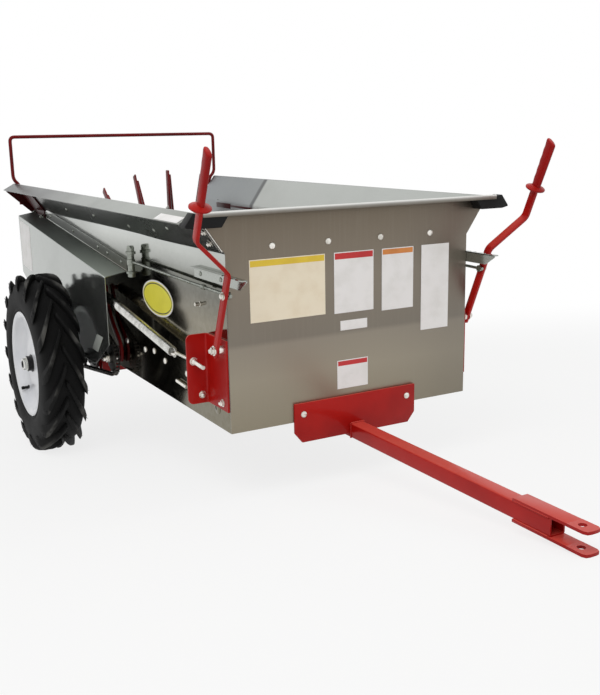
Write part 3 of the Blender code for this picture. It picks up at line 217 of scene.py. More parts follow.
def addFloor():
    bm = bmesh.new()
    bmesh.ops.create_circle(bm, cap_ends=True, segments=96, radius=light["floorRadius"])
    mesh = bpy.data.meshes.new("studioFloor")
    bm.to_mesh(mesh)
    bm.free()
    floor = bpy.data.objects.new("studioFloor", mesh)
    bpy.context.scene.collection.objects.link(floor)
    material = bpy.data.materials.new("paleFloor")
    material.use_nodes = True
    graph = Graph(material.node_tree)
    here = graph.add("ShaderNodeTexCoord", out="Object")
    far = graph.add("ShaderNodeVectorMath", {"operation": "LENGTH"}, {0: here}, 1)
    reach = graph.band(far, *light["floorFade"], Min=light["floorGlow"], Max=1.0)
    plain = graph.add("ShaderNodeBsdfDiffuse", None, {"Color": tone(*light["floorTone"])})
    glow = graph.add("ShaderNodeEmission", None, {"Color": (1, 1, 1, 1), "Strength": 1})
    mixed = graph.add("ShaderNodeMixShader", None, {0: graph.whiteRays() * reach, 1: plain, 2: glow})
    graph.tree.links.new(mixed.socket, graph.tree.nodes["Material Output"].inputs["Surface"])
    mesh.materials.append(material)


def addLamp(name, spot, power, size):
    data = bpy.data.lights.new(name, "AREA")
    data.shape = "DISK"
    data.size = size
    data.energy = power
    lamp = bpy.data.objects.new(name, data)
    bpy.context.scene.collection.objects.link(lamp)
    lamp.location = spot
    lamp.rotation_euler = (Vector(light["lampAim"]) - Vector(spot)).to_track_quat("-Z", "Y").to_euler()
    lamp.visible_glossy = False


addCamera()
addWorld()
addFloor()
for lamp in light["lamps"]:
    addLamp(*lamp)
bpy.context.scene.view_settings.view_transform = "Standard"
print("camera, world, floor and lamps set")

# ---- finishes


def rampAlong(finish, wire, stops, reach):
    # colours by place along the machine or up it, in metres
    return finish.ramp(wire * (1 / reach), [(place / reach, tone(*colour)) for place, colour in stops])


def spangle(finish, scale):
    # the crystals of hot-dip zinc
    grain = finish.add("ShaderNodeTexVoronoi", None, {"Vector": finish.spot, "Scale": scale}, "Color")
    return finish.add("ShaderNodeRGBToBW", None, {0: grain})


def polishedWall():
    finish = Finish("polishedWall", Metallic=1)
    # painted reflection: the tones up the wall stand in for the surroundings a mirror-bright wall shows, brownish low
    # down, darkest in a band near 0.3 m and pale near the top; from 0.85 to 1.25 m back they give way to one plain tone
    colour = rampAlong(finish, finish.z, (
        (0.0, (118, 111, 90)), (0.09, (110, 104, 84)), (0.24, (126, 119, 100)), (0.315, (90, 88, 76)),
        (0.345, (98, 100, 90)), (0.372, (152, 155, 149)), (0.405, (184, 187, 182)), (0.43, (192, 196, 192)),
    ), 0.45)
    cloud = finish.noise(2.6, 2, (1, 0.5, 1.6))
    fleck = spangle(finish, 90)
    plainer = finish.mix(finish.band(finish.y, 0.85, 1.25) * 0.8, colour, tone(150, 154, 150))
    soft = finish.mix(finish.band(cloud, 0.42, 0.75) * 0.3, plainer, tone(86, 84, 74))
    flecked = finish.mix(fleck * 0.06, soft, tone(230, 230, 226))
    rough = finish.noise(14, 3) * 0.05 + fleck * 0.02 + 0.055
    wave = finish.noise(3.2, 1) + finish.noise(300, 1) * 0.01
    return finish.feed(Base_Color=flecked, Roughness=rough, Normal=finish.bump(wave, 0.35, 0.004))


def sheetFinish(name, stops, axis, reach, rough, dark, metal=0.92):
    finish = Finish(name, Metallic=metal)
    colour = rampAlong(finish, finish.z if axis == "z" else finish.y, stops, reach)
    fleck = spangle(finish, 75)
    cloud = finish.noise(4.5, 4)
    worn = finish.mix(finish.band(cloud, 0.5, 0.85) * 0.35, colour, tone(*dark))
    flecked = finish.mix(fleck * 0.03, worn, tone(225, 227, 224))
    roughness = cloud * 0.10 + fleck * 0.02 + rough
    wave = cloud + finish.noise(260, 1) * 0.04
    return finish.feed(Base_Color=flecked, Roughness=roughness, Normal=finish.bump(wave, 0.25, 0.002))


def satinFront():
    finish = Finish("satinFront", Metallic=0.8)
    # painted shading: the panel is paler below its crease at 0.204 m than above it, darker again near the top, and
    # darkened toward its +x end
    colour = rampAlong(finish, finish.z, (
        (0.0, (144, 136, 118)), (0.12, (154, 146, 130)), (0.2, (146, 138, 125)), (0.212, (128, 121, 110)),
        (0.35, (134, 125, 112)), (0.5, (119, 109, 95)),
    ), 0.52)
    brushed = finish.noise(9, 4, (14, 1, 0.6))
    cloud = finish.noise(3.0, 3)
    toned = finish.mix(finish.band(finish.x + cloud * 0.12, 0.1, 0.42) * 0.32, colour, tone(112, 106, 99))
    streaked = finish.mix(finish.band(brushed, 0.45, 0.8) * 0.08, toned, tone(165, 158, 146))
    rough = brushed * 0.10 + cloud * 0.08 + 0.30
    wave = cloud + brushed * 0.05
    return finish.feed(Base_Color=streaked, Roughness=rough, Normal=finish.bump(wave, 0.2, 0.002))


def glossRed(name, base, deep, fadedAndLitTone, gloss):
    # gloss paint with painted light: faces that look up are painted paler, standing in for their lit tops
    finish = Finish(name, Coat_Roughness=0.1, Specular_IOR_Level=0.14)
    cloud = finish.noise(7, 3)
    peel = finish.noise(420, 2)
    facing = finish.add("ShaderNodeTexCoord", out="Normal")
    upward = finish.band(finish.add("ShaderNodeSeparateXYZ", None, {0: facing}, 2), 0.35, 0.85)
    colour = finish.mix(finish.band(cloud, 0.35, 0.7), tone(*base), tone(*deep))
    litFromAbove = finish.mix(upward * 0.8, colour, tone(*fadedAndLitTone))
    specks = finish.noise(160, 2)
    dusty = finish.mix(finish.band(specks, 0.68, 0.82) * 0.12, litFromAbove, tone(96, 40, 32))
    return finish.feed(Base_Color=dusty, Roughness=cloud * 0.12 + 0.32, Coat_Weight=gloss - cloud * 0.05,
                       Normal=finish.bump(peel + cloud, 0.12, 0.0006))


def oiledSteel(name, base, worn, metal):
    finish = Finish(name, Metallic=metal)
    cloud = finish.noise(30, 4)
    fine = finish.noise(240, 3)
    colour = finish.mix(finish.band(cloud, 0.45, 0.75), tone(*base), tone(*worn))
    greased = finish.mix(finish.band(fine, 0.6, 0.8) * 0.5, colour, tone(18, 15, 12))
    return finish.feed(Base_Color=greased, Roughness=cloud * 0.25 + 0.28,
                       Normal=finish.bump(fine, 0.25, 0.0006))


def mouldedBlack(name, base, pale, rough, scale):
    finish = Finish(name, Specular_IOR_Level=0.22)
    grain = finish.noise(scale, 3)
    cloud = finish.noise(11, 4)
    colour = finish.mix(finish.band(cloud, 0.45, 0.8) * 0.6, tone(*base), tone(*pale))
    return finish.feed(Base_Color=colour, Roughness=rough + cloud * 0.18,
                       Normal=finish.bump(grain, 0.3, 0.0008))


def tyreRubber():
    finish = Finish("tyreRubber", Specular_IOR_Level=0.2)
    grain = finish.noise(380, 3)
    dust = finish.noise(16, 5)
    far = finish.add("ShaderNodeVectorMath", {"operation": "SUBTRACT"}, {0: finish.spot, 1: levelWheel})
    flat = finish.add("ShaderNodeVectorMath", {"operation": "MULTIPLY"}, {0: far, 1: (0, 1, 1)})
    radius = finish.add("ShaderNodeVectorMath", {"operation": "LENGTH"}, {0: flat}, 1)
    crown = finish.band(radius, 0.272, 0.2835)
    offside = finish.add("ShaderNodeMath", {"operation": "ABSOLUTE"}, {0: finish.x})
    across = finish.add("ShaderNodeMath", {"operation": "ABSOLUTE"}, {0: offside - wheelCentre[0]})
    ends = finish.band(across, 0.022, 0.044)
    scuff = crown * ends * finish.band(dust, 0.38, 0.6)
    colour = finish.mix(scuff * 0.9, tone(13, 13, 13), tone(92, 91, 88))
    dusty = finish.mix(finish.band(dust, 0.55, 0.8) * 0.3, colour, tone(34, 33, 31))
    rings = finish.add("ShaderNodeMath", {"operation": "SINE"}, {0: radius * 900})
    wall = finish.band(radius, 0.235, 0.2)
    height = grain * 0.4 + rings * wall * 0.25
    return finish.feed(Base_Color=dusty, Roughness=0.62 + dust * 0.22, Normal=finish.bump(height, 0.35, 0.0008))


def glossWhite():
    finish = Finish("glossWhite", Coat_Roughness=0.1)
    cloud = finish.noise(9, 4)
    dirt = finish.noise(55, 4)
    colour = finish.mix(finish.band(cloud, 0.4, 0.8), tone(238, 239, 242), tone(222, 224, 230))
    dirty = finish.mix(finish.band(dirt, 0.66, 0.85) * 0.4, colour, tone(168, 164, 156))
    return finish.feed(Base_Color=dirty, Roughness=cloud * 0.14 + 0.24, Coat_Weight=cloud * 0.2 + 0.2,
                       Normal=finish.bump(cloud, 0.12, 0.001))


def brightZinc(name, base, deep):
    finish = Finish(name, Metallic=1)
    cloud = finish.noise(46, 4)
    fine = finish.noise(300, 2)
    colour = finish.mix(finish.band(cloud, 0.4, 0.7), tone(*base), tone(*deep))
    return finish.feed(Base_Color=colour, Roughness=cloud * 0.18 + fine * 0.06 + 0.16,
                       Normal=finish.bump(fine, 0.12, 0.0004))


def printedSheet(name, base, fadedAndLitTone):
    # a printed plate: a little faded and rubbed, with the print's own soft sheen
    finish = Finish(name, Coat_Roughness=0.2)
    cloud = finish.noise(22, 4)
    scratch = finish.noise(40, 4, (1, 1, 9))
    colour = finish.mix(finish.band(cloud, 0.4, 0.75) * 0.7, tone(*base), tone(*fadedAndLitTone))
    rubbed = finish.mix(finish.band(scratch, 0.68, 0.82) * 0.35, colour, tone(212, 208, 200))
    return finish.feed(Base_Color=rubbed, Roughness=cloud * 0.15 + 0.38, Coat_Weight=cloud * 0.1 + 0.1,
                       Normal=finish.bump(cloud, 0.15, 0.0005))


# colours along the inner sheets: a narrow dark band 1.236 to 1.253 m back, and a darker tone behind it
innerBandStops = ((0.0, (186, 189, 185)), (1.226, (186, 189, 185)), (1.236, (104, 106, 106)), (1.253, (104, 106, 106)),
             (1.262, (150, 154, 154)), (1.72, (140, 144, 146)))
# painted light: the front lip's lower part is shaded grey and its top painted bright as a highlight, set by height
# alone
lipStops = ((0.0, (112, 106, 97)), (0.5135, (112, 106, 97)), (0.5190, (152, 149, 143)),
            (0.5215, (228, 228, 224)), (0.53, (228, 228, 224)))
guardStops = ((0, (164, 168, 164)), (0.2, (166, 170, 166)), (0.45, (160, 164, 160)))
# painted shade: the guard's top is pale at its front and darkens toward the rear, where the flare above shades it
guardTopStops = ((0.676, (176, 184, 174)), (0.85, (150, 158, 149)), (1.1, (98, 104, 99)), (1.5, (70, 75, 71)))
# painted shade: the dark tones of the sheets that face down and inward, under the flare and inside the guard
underStops = ((0, (44, 45, 41)), (0.6, (48, 53, 48)), (1.2, (70, 74, 68)), (1.72, (54, 51, 48)))
# painted shading: the lip's top is paler over the front third and darkens toward the rear
lipTopStops = ((0, (136, 139, 132)), (0.3, (162, 166, 160)), (0.8, (154, 158, 153)), (1.2, (104, 107, 106)),
               (1.72, (72, 76, 76)))
guideStops = ((0, (166, 170, 164)), (1, (166, 170, 164)))
deckStops = ((0, (150, 152, 148)), (1.7, (140, 142, 138)))
paint = {
    "wall": polishedWall(),
    "guard": sheetFinish("brightGuard", guardStops, "z", 0.45, 0.07, (134, 137, 133)),
    "guardTop": sheetFinish("guardTop", guardTopStops, "y", 1.72, 0.4, (90, 96, 90), 0.35),
    "under": sheetFinish("flareUnderside", underStops, "y", 1.72, 0.2, (30, 32, 29)),
    "lip": sheetFinish("lipTop", lipTopStops, "y", 1.72, 0.26, (112, 114, 111)),
    "inner": sheetFinish("innerSheet", innerBandStops, "y", 1.72, 0.36, (164, 167, 162)),
    "front": satinFront(),
    "frontLip": sheetFinish("frontLip", lipStops, "z", 0.53, 0.3, (176, 176, 170)),
    "guide": sheetFinish("guideSheet", guideStops, "y", 1, 0.1, (116, 118, 114)),
    "deck": sheetFinish("deckSheet", deckStops, "y", 1.72, 0.34, (104, 102, 96)),
    "red": glossRed("glossRed", (182, 22, 15), (160, 15, 11), (218, 84, 72), 0.2),
    "gripRed": glossRed("gripRed", (164, 14, 10), (140, 10, 8), (186, 40, 32), 0.1),
    # a near-black red; on the axle brackets and the strips beside the beater it is painted shade
    "blackishRed": glossRed("blackishRed", (66, 11, 13), (46, 8, 10), (78, 16, 16), 0.06),
    "darkRed": glossRed("darkRed", (118, 13, 15), (86, 9, 12), (136, 22, 22), 0.12),
    "steel": oiledSteel("oiledSteel", (34, 34, 36), (66, 64, 62), 0.7),
    "chain": oiledSteel("chainSteel", (58, 56, 54), (112, 108, 102), 0.9),
    "plastic": mouldedBlack("mouldedBlack", (12, 13, 13), (26, 27, 27), 0.45, 500),
    "rubber": tyreRubber(),
    "white": glossWhite(),
    "zinc": brightZinc("brightZinc", (226, 226, 222), (188, 188, 182)),
    "rod": brightZinc("rodZinc", (150, 154, 146), (116, 120, 112)),
    "nickel": brightZinc("paleBolt", (236, 233, 226), (200, 197, 188)),
    "plateWhite": printedSheet("plateWhite", (250, 248, 246), (236, 234, 230)),
    "plateCream": printedSheet("plateCream", (252, 240, 214), (242, 226, 196)),
    "plateYellow": printedSheet("plateYellow", (240, 206, 60), (226, 190, 52)),
    "plateRed": printedSheet("plateRed", (206, 42, 44), (188, 36, 38)),
    "plateOrange": printedSheet("plateOrange", (226, 142, 66), (208, 128, 60)),
    "ovalYellow": printedSheet("ovalYellow", (246, 236, 62), (232, 222, 54)),
    "plateGrey": printedSheet("plateGrey", (176, 180, 174), (160, 164, 158)),
    "plateBlack": printedSheet("plateBlack", (26, 26, 26), (48, 47, 46)),
}
print("finishes made:", len(paint))

# ---- mesh helpers


def spotOn(axis, across, up, along):
    if axis == "x":
        return Vector((along, across, up))
    if axis == "y":
        return Vector((across, along, up))
    return Vector((across, up, along))


def aim(spot, direction, roll=0):
    # local Z of a small shape set along a direction
    face = Vector(direction).to_track_quat("Z", "Y").to_matrix().to_4x4()
    return Matrix.Translation(spot) @ face @ Matrix.Rotation(roll, 4, "Z")


def vertsOf(items):
    return [item for item in items if isinstance(item, bmesh.types.BMVert)]


def edgesOf(verts):
    return list({link for vert in verts for link in vert.link_edges})


def softEdges(bm, edges, width, steps=2):
    bmesh.ops.bevel(bm, geom=edges, offset=width, segments=steps, profile=0.5, affect="EDGES", material=-1)


def join(bm, part):
    # a form built apart goes into its piece
    made = bpy.data.meshes.new("part")
    part.to_mesh(made)
    part.free()
    bm.from_mesh(made)
    bpy.data.meshes.remove(made)


def lathe(bm, points, centre=(0, 0, 0), axis=(0, 0, 1), steps=32, closed=False):
    # (along, radius) points spun once round the axis line
    axis = Vector(axis).normalized()
    side = axis.orthogonal().normalized()
    centre = Vector(centre)
    part = bmesh.new()
    ring = [part.verts.new(centre + axis * along + side * radius) for along, radius in points]
    edges = [part.edges.new(pair) for pair in zip(ring, ring[1:])]
    if closed:
        edges.append(part.edges.new((ring[-1], ring[0])))
    bmesh.ops.spin(part, geom=ring + edges, cent=centre, axis=axis, angle=math.tau, steps=steps, use_merge=True)
    bmesh.ops.remove_doubles(part, verts=part.verts[:], dist=0.00001)
    join(bm, part)


def slab(bm, outline, axis, low, high, edge=0, steps=2):
    # a flat outline given its thickness along an axis, rims softened
    verts = [bm.verts.new(spotOn(axis, across, up, low)) for across, up in outline]
    face = bm.faces.new(verts)
    grown = bmesh.ops.extrude_face_region(bm, geom=[face])["geom"]
    top = vertsOf(grown)
    bmesh.ops.translate(bm, verts=top, vec=spotOn(axis, 0, 0, high - low))
    if edge:
        softEdges(bm, edgesOf(verts + top), edge, steps)


def block(bm, low, high, edge=0.001, steps=2):
    low = Vector(low)
    high = Vector(high)
    size = high - low
    place = Matrix.Translation((low + high) / 2) @ Matrix.Diagonal((*size, 1))
    made = bmesh.ops.create_cube(bm, size=1, matrix=place)
    if edge:
        softEdges(bm, edgesOf(made["verts"]), edge, steps)


def loft(bm, rings, capped=True):
    # a skin drawn through rings of points by bridging each to the next
    loops = []
    for ring in rings:
        verts = [bm.verts.new(point) for point in ring]
        edges = [bm.edges.new((verts[i - 1], verts[i])) for i in range(len(verts))]
        loops.append(edges)
    for near, far in zip(loops, loops[1:]):
        bmesh.ops.bridge_loops(bm, edges=near + far)
    if capped:
        bmesh.ops.contextual_create(bm, geom=loops[0])
        bmesh.ops.contextual_create(bm, geom=loops[-1])


def ringOf(radius, count=10):
    return [(radius * math.cos(math.tau * i / count), radius * math.sin(math.tau * i / count))
            for i in range(count)]


def flatBar(halfU, halfV, corner):
    # rounded rectangle section
    points = []
    for i, (u, v) in enumerate(((1, 1), (-1, 1), (-1, -1), (1, -1))):
        for step in (0, 0.5, 1):
            angle = math.pi / 2 * (i + step)
            points.append((u * (halfU - corner) + corner * math.cos(angle),
                           v * (halfV - corner) + corner * math.sin(angle)))
    return points


def sweep(bm, path, section, side, sizes=None):
    # a section carried along a path and mitred at each bend; side is square to the bends' plane
    path = [Vector(point) for point in path]
    side = Vector(side).normalized()
    rings = []
    for i, point in enumerate(path):
        runIn = (point - path[i - 1]).normalized() if i else (path[1] - point).normalized()
        runOut = (path[i + 1] - point).normalized() if i + 1 < len(path) else runIn
        mean = (runIn + runOut).normalized()
        across = mean.cross(side).normalized()
        upright = across.cross(mean).normalized()
        size = sizes[i] if sizes else 1
        stretch = 1 / max(mean.dot(runIn), 0.3)
        rings.append([point + upright * u * size + across * v * size * stretch for u, v in section])
    loft(bm, rings)


def roundPath(points, radius, steps=5):
    # corners of a path eased by short curves
    points = [Vector(point) for point in points]
    eased = [points[0]]
    for before, corner, after in zip(points, points[1:], points[2:]):
        reachIn = min(radius, (before - corner).length * 0.48)
        reachOut = min(radius, (after - corner).length * 0.48)
        start = corner + (before - corner).normalized() * reachIn
        end = corner + (after - corner).normalized() * reachOut
        for i in range(steps + 1):
            share = i / steps
            eased.append(start.lerp(corner, share).lerp(corner.lerp(end, share), share))
    eased.append(points[-1])
    return eased


def drawnOut(part, line, run):
    # an outline drawn out along run as a strip of faces
    verts = [part.verts.new(point) for point in line]
    edges = [part.edges.new(pair) for pair in zip(verts, verts[1:])]
    grown = bmesh.ops.extrude_edge_only(part, edges=edges)["geom"]
    bmesh.ops.translate(part, verts=vertsOf(grown), vec=run)


def bendFolds(part, bend, steps=4):
    folds = [edge for edge in part.edges if len(edge.link_faces) == 2]
    if folds:
        softEdges(part, folds, bend, steps)


def foldedSheet(bm, line, run, thick, bend, facing, steps=4):
    # a bent sheet: its outer line drawn out along run, folds rounded, thickness put behind it
    part = bmesh.new()
    drawnOut(part, line, run)
    bendFolds(part, bend, steps)
    thicken(part, thick, facing)
    join(bm, part)


def thicken(part, thick, facing):
    faces = part.faces[:]
    bmesh.ops.recalc_face_normals(part, faces=faces)
    widest = max(faces, key=lambda face: face.calc_area())
    if widest.normal.dot(Vector(facing)) < 0:
        bmesh.ops.reverse_faces(part, faces=faces)
    bmesh.ops.solidify(part, geom=faces, thickness=thick)


def asShape(bm):
    # a small shape kept as a mesh, so that copies of it can be set down
    bmesh.ops.recalc_face_normals(bm, faces=bm.faces[:])
    made = bpy.data.meshes.new("shape")
    bm.to_mesh(made)
    bm.free()
    return made


def addCopy(bm, shape, place):
    made = shape.copy()
    made.transform(place)
    bm.from_mesh(made)
    bpy.data.meshes.remove(made)


def addPiece(name, bm, finishes, stands=(), body="frame", sharp=38, soften=0, sort=None):
    # the mesh is parked, given its finishes and tied to its body
    bmesh.ops.recalc_face_normals(bm, faces=bm.faces[:])
    if sort:
        for face in bm.faces:
            face.material_index = sort(face)
    bmesh.ops.transform(bm, matrix=parked, verts=bm.verts[:])
    mesh = bpy.data.meshes.new(name)
    bm.to_mesh(mesh)
    bm.free()
    for finish in finishes:
        mesh.materials.append(paint[finish])
    for face in mesh.polygons:
        face.use_smooth = True
    mesh.set_sharp_from_angle(angle=math.radians(sharp))
    piece = bpy.data.objects.new(name, mesh)
    bpy.context.scene.collection.objects.link(piece)
    if soften:
        ease = piece.modifiers.new("softEdge", "BEVEL")
        ease.width = soften
        ease.segments = 2
        ease.limit_method = "ANGLE"
        ease.angle_limit = math.radians(40)
    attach(piece, body)
    if stands:
        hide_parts(*stands)


def addBolts(name, shape, spots, facing, finish="nickel"):
    bm = bmesh.new()
    for spot in spots:
        addCopy(bm, shape, aim(spot, facing))
    addPiece(name, bm, (finish,))


def threadLine(start, length, radius, root, pitch=0.0012):
    # the profile of a thread: crest and root by turns
    line = []
    along = start
    while along < start + length:
        line += [(along, radius), (along + pitch / 2, radius * root)]
        along += pitch
    return line


def domeHead(radius, height, steps=16):
    bm = bmesh.new()
    curve = [(0, radius), (height * 0.25, radius * 0.98), (height * 0.6, radius * 0.8),
             (height * 0.88, radius * 0.46), (height, 0)]
    lathe(bm, [(-0.001, 0), (-0.001, radius)] + curve, steps=steps)
    return asShape(bm)


def hexHead(radius, height, washer=0.0012, stub=0, stubRadius=0):
    bm = bmesh.new()
    place = Matrix.Translation((0, 0, washer + height / 2))
    head = bmesh.ops.create_cone(bm, cap_ends=True, segments=6, radius1=radius, radius2=radius,
                                 depth=height, matrix=place)
    softEdges(bm, edgesOf(head["verts"]), radius * 0.09)
    lathe(bm, [(-0.0005, 0), (-0.0005, radius * 1.25), (washer, radius * 1.25), (washer, 0)], steps=20)
    if stub:
        start = washer + height - 0.0005
        end = start + stub + 0.001
        lathe(bm, [(start, 0)] + threadLine(start, stub, stubRadius, 0.9) + [(end, stubRadius * 0.7), (end, 0)],
              steps=14)
    return asShape(bm)


def weldRun(bm, start, end, radius, side):
    # a weld bead: a low rippled rope along a seam
    start = Vector(start)
    end = Vector(end)
    count = max(int((end - start).length / 0.0028), 2)
    path = [start.lerp(end, i / count) for i in range(count + 1)]
    sizes = [1.0 if i % 2 else 0.82 for i in range(count + 1)]
    sweep(bm, path, ringOf(radius, 7), side, sizes)


smallDome = domeHead(0.0085, 0.0045)
lowDome = domeHead(0.0058, 0.0032, 12)
smallHex = hexHead(0.0075, 0.0055, stub=0.004, stubRadius=0.004)
midHex = hexHead(0.0095, 0.0065, stub=0.005, stubRadius=0.0052)

# ---- box: sides, front, floor

box = {
    "half": 0.345,
    "length": 1.72,
    "sheet": 0.003,
    "flareHeight": 0.424,
    "lipHeight": 0.518,
    "flareOut": 0.066,
    "lipReach": 0.042,
    "lipDrop": 0.023,
    "bend": 0.0045,
}


flareNormal = Vector((box["lipHeight"] - box["flareHeight"], -box["flareOut"])).normalized()


def wallSort(sign):
    def pick(face):
        centre = face.calc_center_median()
        out = face.normal.x * sign
        if abs(centre.x) < box["half"] + 0.001 and out > 0.5:
            return 0
        # the flare's outer face and the lip's underside take the under finish, painted dark as shade
        if out > 0.3 and face.normal.z < 0.2:
            return 1
        if face.normal.z > 0.2 and abs(centre.x) > 0.409:
            return 2
        if face.normal.z < -0.2 and abs(centre.x) > 0.409:
            return 1
        return 3
    return pick


def addBoxSide(name, sign):
    bm = bmesh.new()
    half = box["half"] * sign
    flare = half + box["flareOut"] * sign
    line = [(half, 0.0003, 0.0), (half, 0.0003, box["flareHeight"]), (flare, 0.0003, box["lipHeight"]),
            (flare + box["lipReach"] * sign, 0.0003, box["lipHeight"] - box["lipDrop"])]
    foldedSheet(bm, line, (0, box["length"] - 0.0003, 0), box["sheet"], box["bend"], (sign, 0, 0))
    addPiece("boxSide_" + name, bm, ("wall", "under", "lip", "inner"), ["box_side_" + name],
             soften=0.0005, sort=wallSort(sign))


wallBolts = {
    "spots": ((0.713, 0.093), (0.561, 0.0955), (0.489, 0.105), (0.4085, 0.0935), (0.257, 0.0905)),
    "flareSpots": ((0.040, 0.447), (0.020, 0.476)),
    "flareDomes": ((0.276, 0.463), (0.396, 0.448), (0.602, 0.442), (0.900, 0.452), (1.200, 0.452)),
    "stopPin": (0.152, 0.2880),
    "stopLine": ((0, 0), (0, 0.0062), (0.002, 0.0062), (0.002, 0.0048), (0.0138, 0.0048), (0.0152, 0.0032),
                 (0.0152, 0)),
    "tension": (0.0046, 0.252, 0.0565),
    "tensionLength": 0.066,
    "tensionRadius": 0.0042,
}


def onFlare(sign, y, z, lift=0):
    # a point on the flare's outer face, lifted off it square to its slope
    share = (z - box["flareHeight"]) / (box["lipHeight"] - box["flareHeight"])
    x = box["half"] + box["flareOut"] * share
    return Vector(((x + lift * flareNormal[0]) * sign, y, z + lift * flareNormal[1]))


def addWallBolts(name, sign):
    bm = bmesh.new()
    wall = box["half"] * sign
    for y, z in wallBolts["spots"]:
        addCopy(bm, smallDome, aim((wall, y, z), (sign, 0, 0)))
    slope = (flareNormal[0] * sign, 0, flareNormal[1])
    for y, z in wallBolts["flareSpots"]:
        addCopy(bm, smallHex, aim(onFlare(sign, y, z), slope))
    addBolts("flareBolts_" + name, lowDome, [onFlare(sign, y, z) for y, z in wallBolts["flareDomes"]], slope, "rod")
    # the lever's stop: a stout pin standing out of the wall
    lathe(bm, wallBolts["stopLine"], (wall, *wallBolts["stopPin"]), (sign, 0, 0), 16)
    # the conveyor's tension bolt lies along the wall
    reach, y, z = wallBolts["tension"]
    end = wallBolts["tensionLength"]
    radius = wallBolts["tensionRadius"]
    crests = [(0.002 + 0.001 * i, radius + 0.0006 * (i % 2)) for i in range(62)]
    lathe(bm, [(0, 0), (0, radius)] + crests + [(end, radius), (end, 0)], (wall + reach * sign, y, z), (0, 1, 0.05), 12)
    addPiece("wallBolts_" + name, bm, ("nickel",))


# the rings: finish and width, from the rim inward
oval = {
    "y": 0.4415,
    "z": 0.2595,
    "halfY": 0.112,
    "halfZ": 0.0485,
    "lift": 0.0007,
    "thick": 0.0005,
    "rings": ((0, 0.0045), (2, 0.003), (1, 0.003)),
}


def addOval(name, sign):
    # plain oval badge: white border, yellow band, black ring, yellow middle
    bm = bmesh.new()
    face = (box["half"] + oval["lift"]) * sign
    place = Matrix.Translation((face, oval["y"], oval["z"])) @ Matrix.Diagonal((1, oval["halfY"], oval["halfZ"], 1))
    place = place @ Matrix.Rotation(math.pi / 2 * sign, 4, "Y")
    bmesh.ops.create_circle(bm, cap_ends=True, segments=64, radius=1, matrix=place)
    middle = bm.faces[:]
    for index, width in oval["rings"]:
        made = bmesh.ops.inset_region(bm, faces=middle, thickness=width, use_boundary=True, use_even_offset=True)
        for ring in made["faces"]:
            ring.material_index = index
    middle[0].material_index = 2
    grown = bmesh.ops.extrude_face_region(bm, geom=bm.faces[:])["geom"]
    bmesh.ops.translate(bm, verts=vertsOf(grown), vec=(-oval["thick"] * sign, 0, 0))
    addPiece("ovalBadge_" + name, bm, ("plateWhite", "plateBlack", "ovalYellow"))


frontSpec = {
    "crease": 0.204,
    "creaseDepth": 0.0004,
    "lipReach": 0.040,
    "lipRise": 0.0065,
    "lipDepth": 0.006,
    "boltX": (-0.226, -0.075, 0.075, 0.226),
    "boltZ": 0.435,
}


def addFrontPanel():
    bm = bmesh.new()
    half = box["half"]
    top = half + box["flareOut"]
    outline = [(-half, 0), (half, 0), (half, box["flareHeight"]), (top, box["lipHeight"] - 0.001),
               (-top, box["lipHeight"] - 0.001), (-half, box["flareHeight"])]
    slab(bm, outline, "y", -box["sheet"], 0, 0.0007)
    geom = bm.verts[:] + bm.edges[:] + bm.faces[:]
    bmesh.ops.bisect_plane(bm, geom=geom, plane_co=(0, 0, frontSpec["crease"]), plane_no=(0, 0, 1))
    for vert in bm.verts:
        if abs(vert.co.z - frontSpec["crease"]) < 0.0001:
            vert.co.y -= frontSpec["creaseDepth"]
    line = [(-top, 0, box["lipHeight"]), (-top, -frontSpec["lipReach"], box["lipHeight"] + frontSpec["lipRise"]),
            (-top, -frontSpec["lipReach"], box["lipHeight"] - frontSpec["lipDepth"])]
    foldedSheet(bm, line, (2 * top, 0, 0), box["sheet"], 0.004, (0, 0, 1))

    def pick(face):
        centre = face.calc_center_median()
        if centre.y > -0.0004 and centre.z < box["lipHeight"] - 0.002:
            return 2
        if centre.y < -0.006 or centre.z > box["lipHeight"] - 0.004:
            return 1
        return 0
    addPiece("frontPanel", bm, ("front", "frontLip", "inner"), ["front_panel"], soften=0.0004, sort=pick)
    spots = [(x, -box["sheet"], frontSpec["boltZ"]) for x in frontSpec["boltX"]]
    addBolts("frontBolts", smallDome, spots, (0, -1, 0))


# blank plates: x from, x to, z from, z to, header depth, header finish, body finish
plates = (
    (-0.2873, -0.0853, 0.2590, 0.4059, 0.0165, "plateYellow", "plateCream"),
    (-0.0600, 0.0538, 0.2565, 0.4058, 0.0170, "plateRed", "plateWhite"),
    (0.0785, 0.1745, 0.2500, 0.4051, 0.0150, "plateOrange", "plateWhite"),
    (0.1995, 0.2870, 0.1858, 0.4054, 0, "plateWhite", "plateWhite"),
    (-0.0532, 0.0368, 0.0655, 0.1380, 0.0140, "plateRed", "plateWhite"),
    (-0.0430, 0.0350, 0.2130, 0.2370, 0, "plateWhite", "plateWhite"),
)


def addPlates():
    face = -box["sheet"] - 0.0001
    for i, (left, right, low, high, header, band, body) in enumerate(plates):
        front = face - frontSpec["creaseDepth"]
        bm = bmesh.new()
        slab(bm, [(left, low), (right, low), (right, high), (left, high)], "y", front - 0.0006, front, 0.0002, 1)
        if header:
            edge = 0.0022
            slab(bm, [(left + edge, high - header), (right - edge, high - header), (right - edge, high - edge),
                      (left + edge, high - edge)], "y", front - 0.0009, front - 0.0004, 0.0001, 1)
        limit = front - 0.00065
        addPiece(f"frontPlate_{i + 1}", bm, (body, band),
                 sort=lambda face: 1 if face.calc_center_median().y < limit else 0)


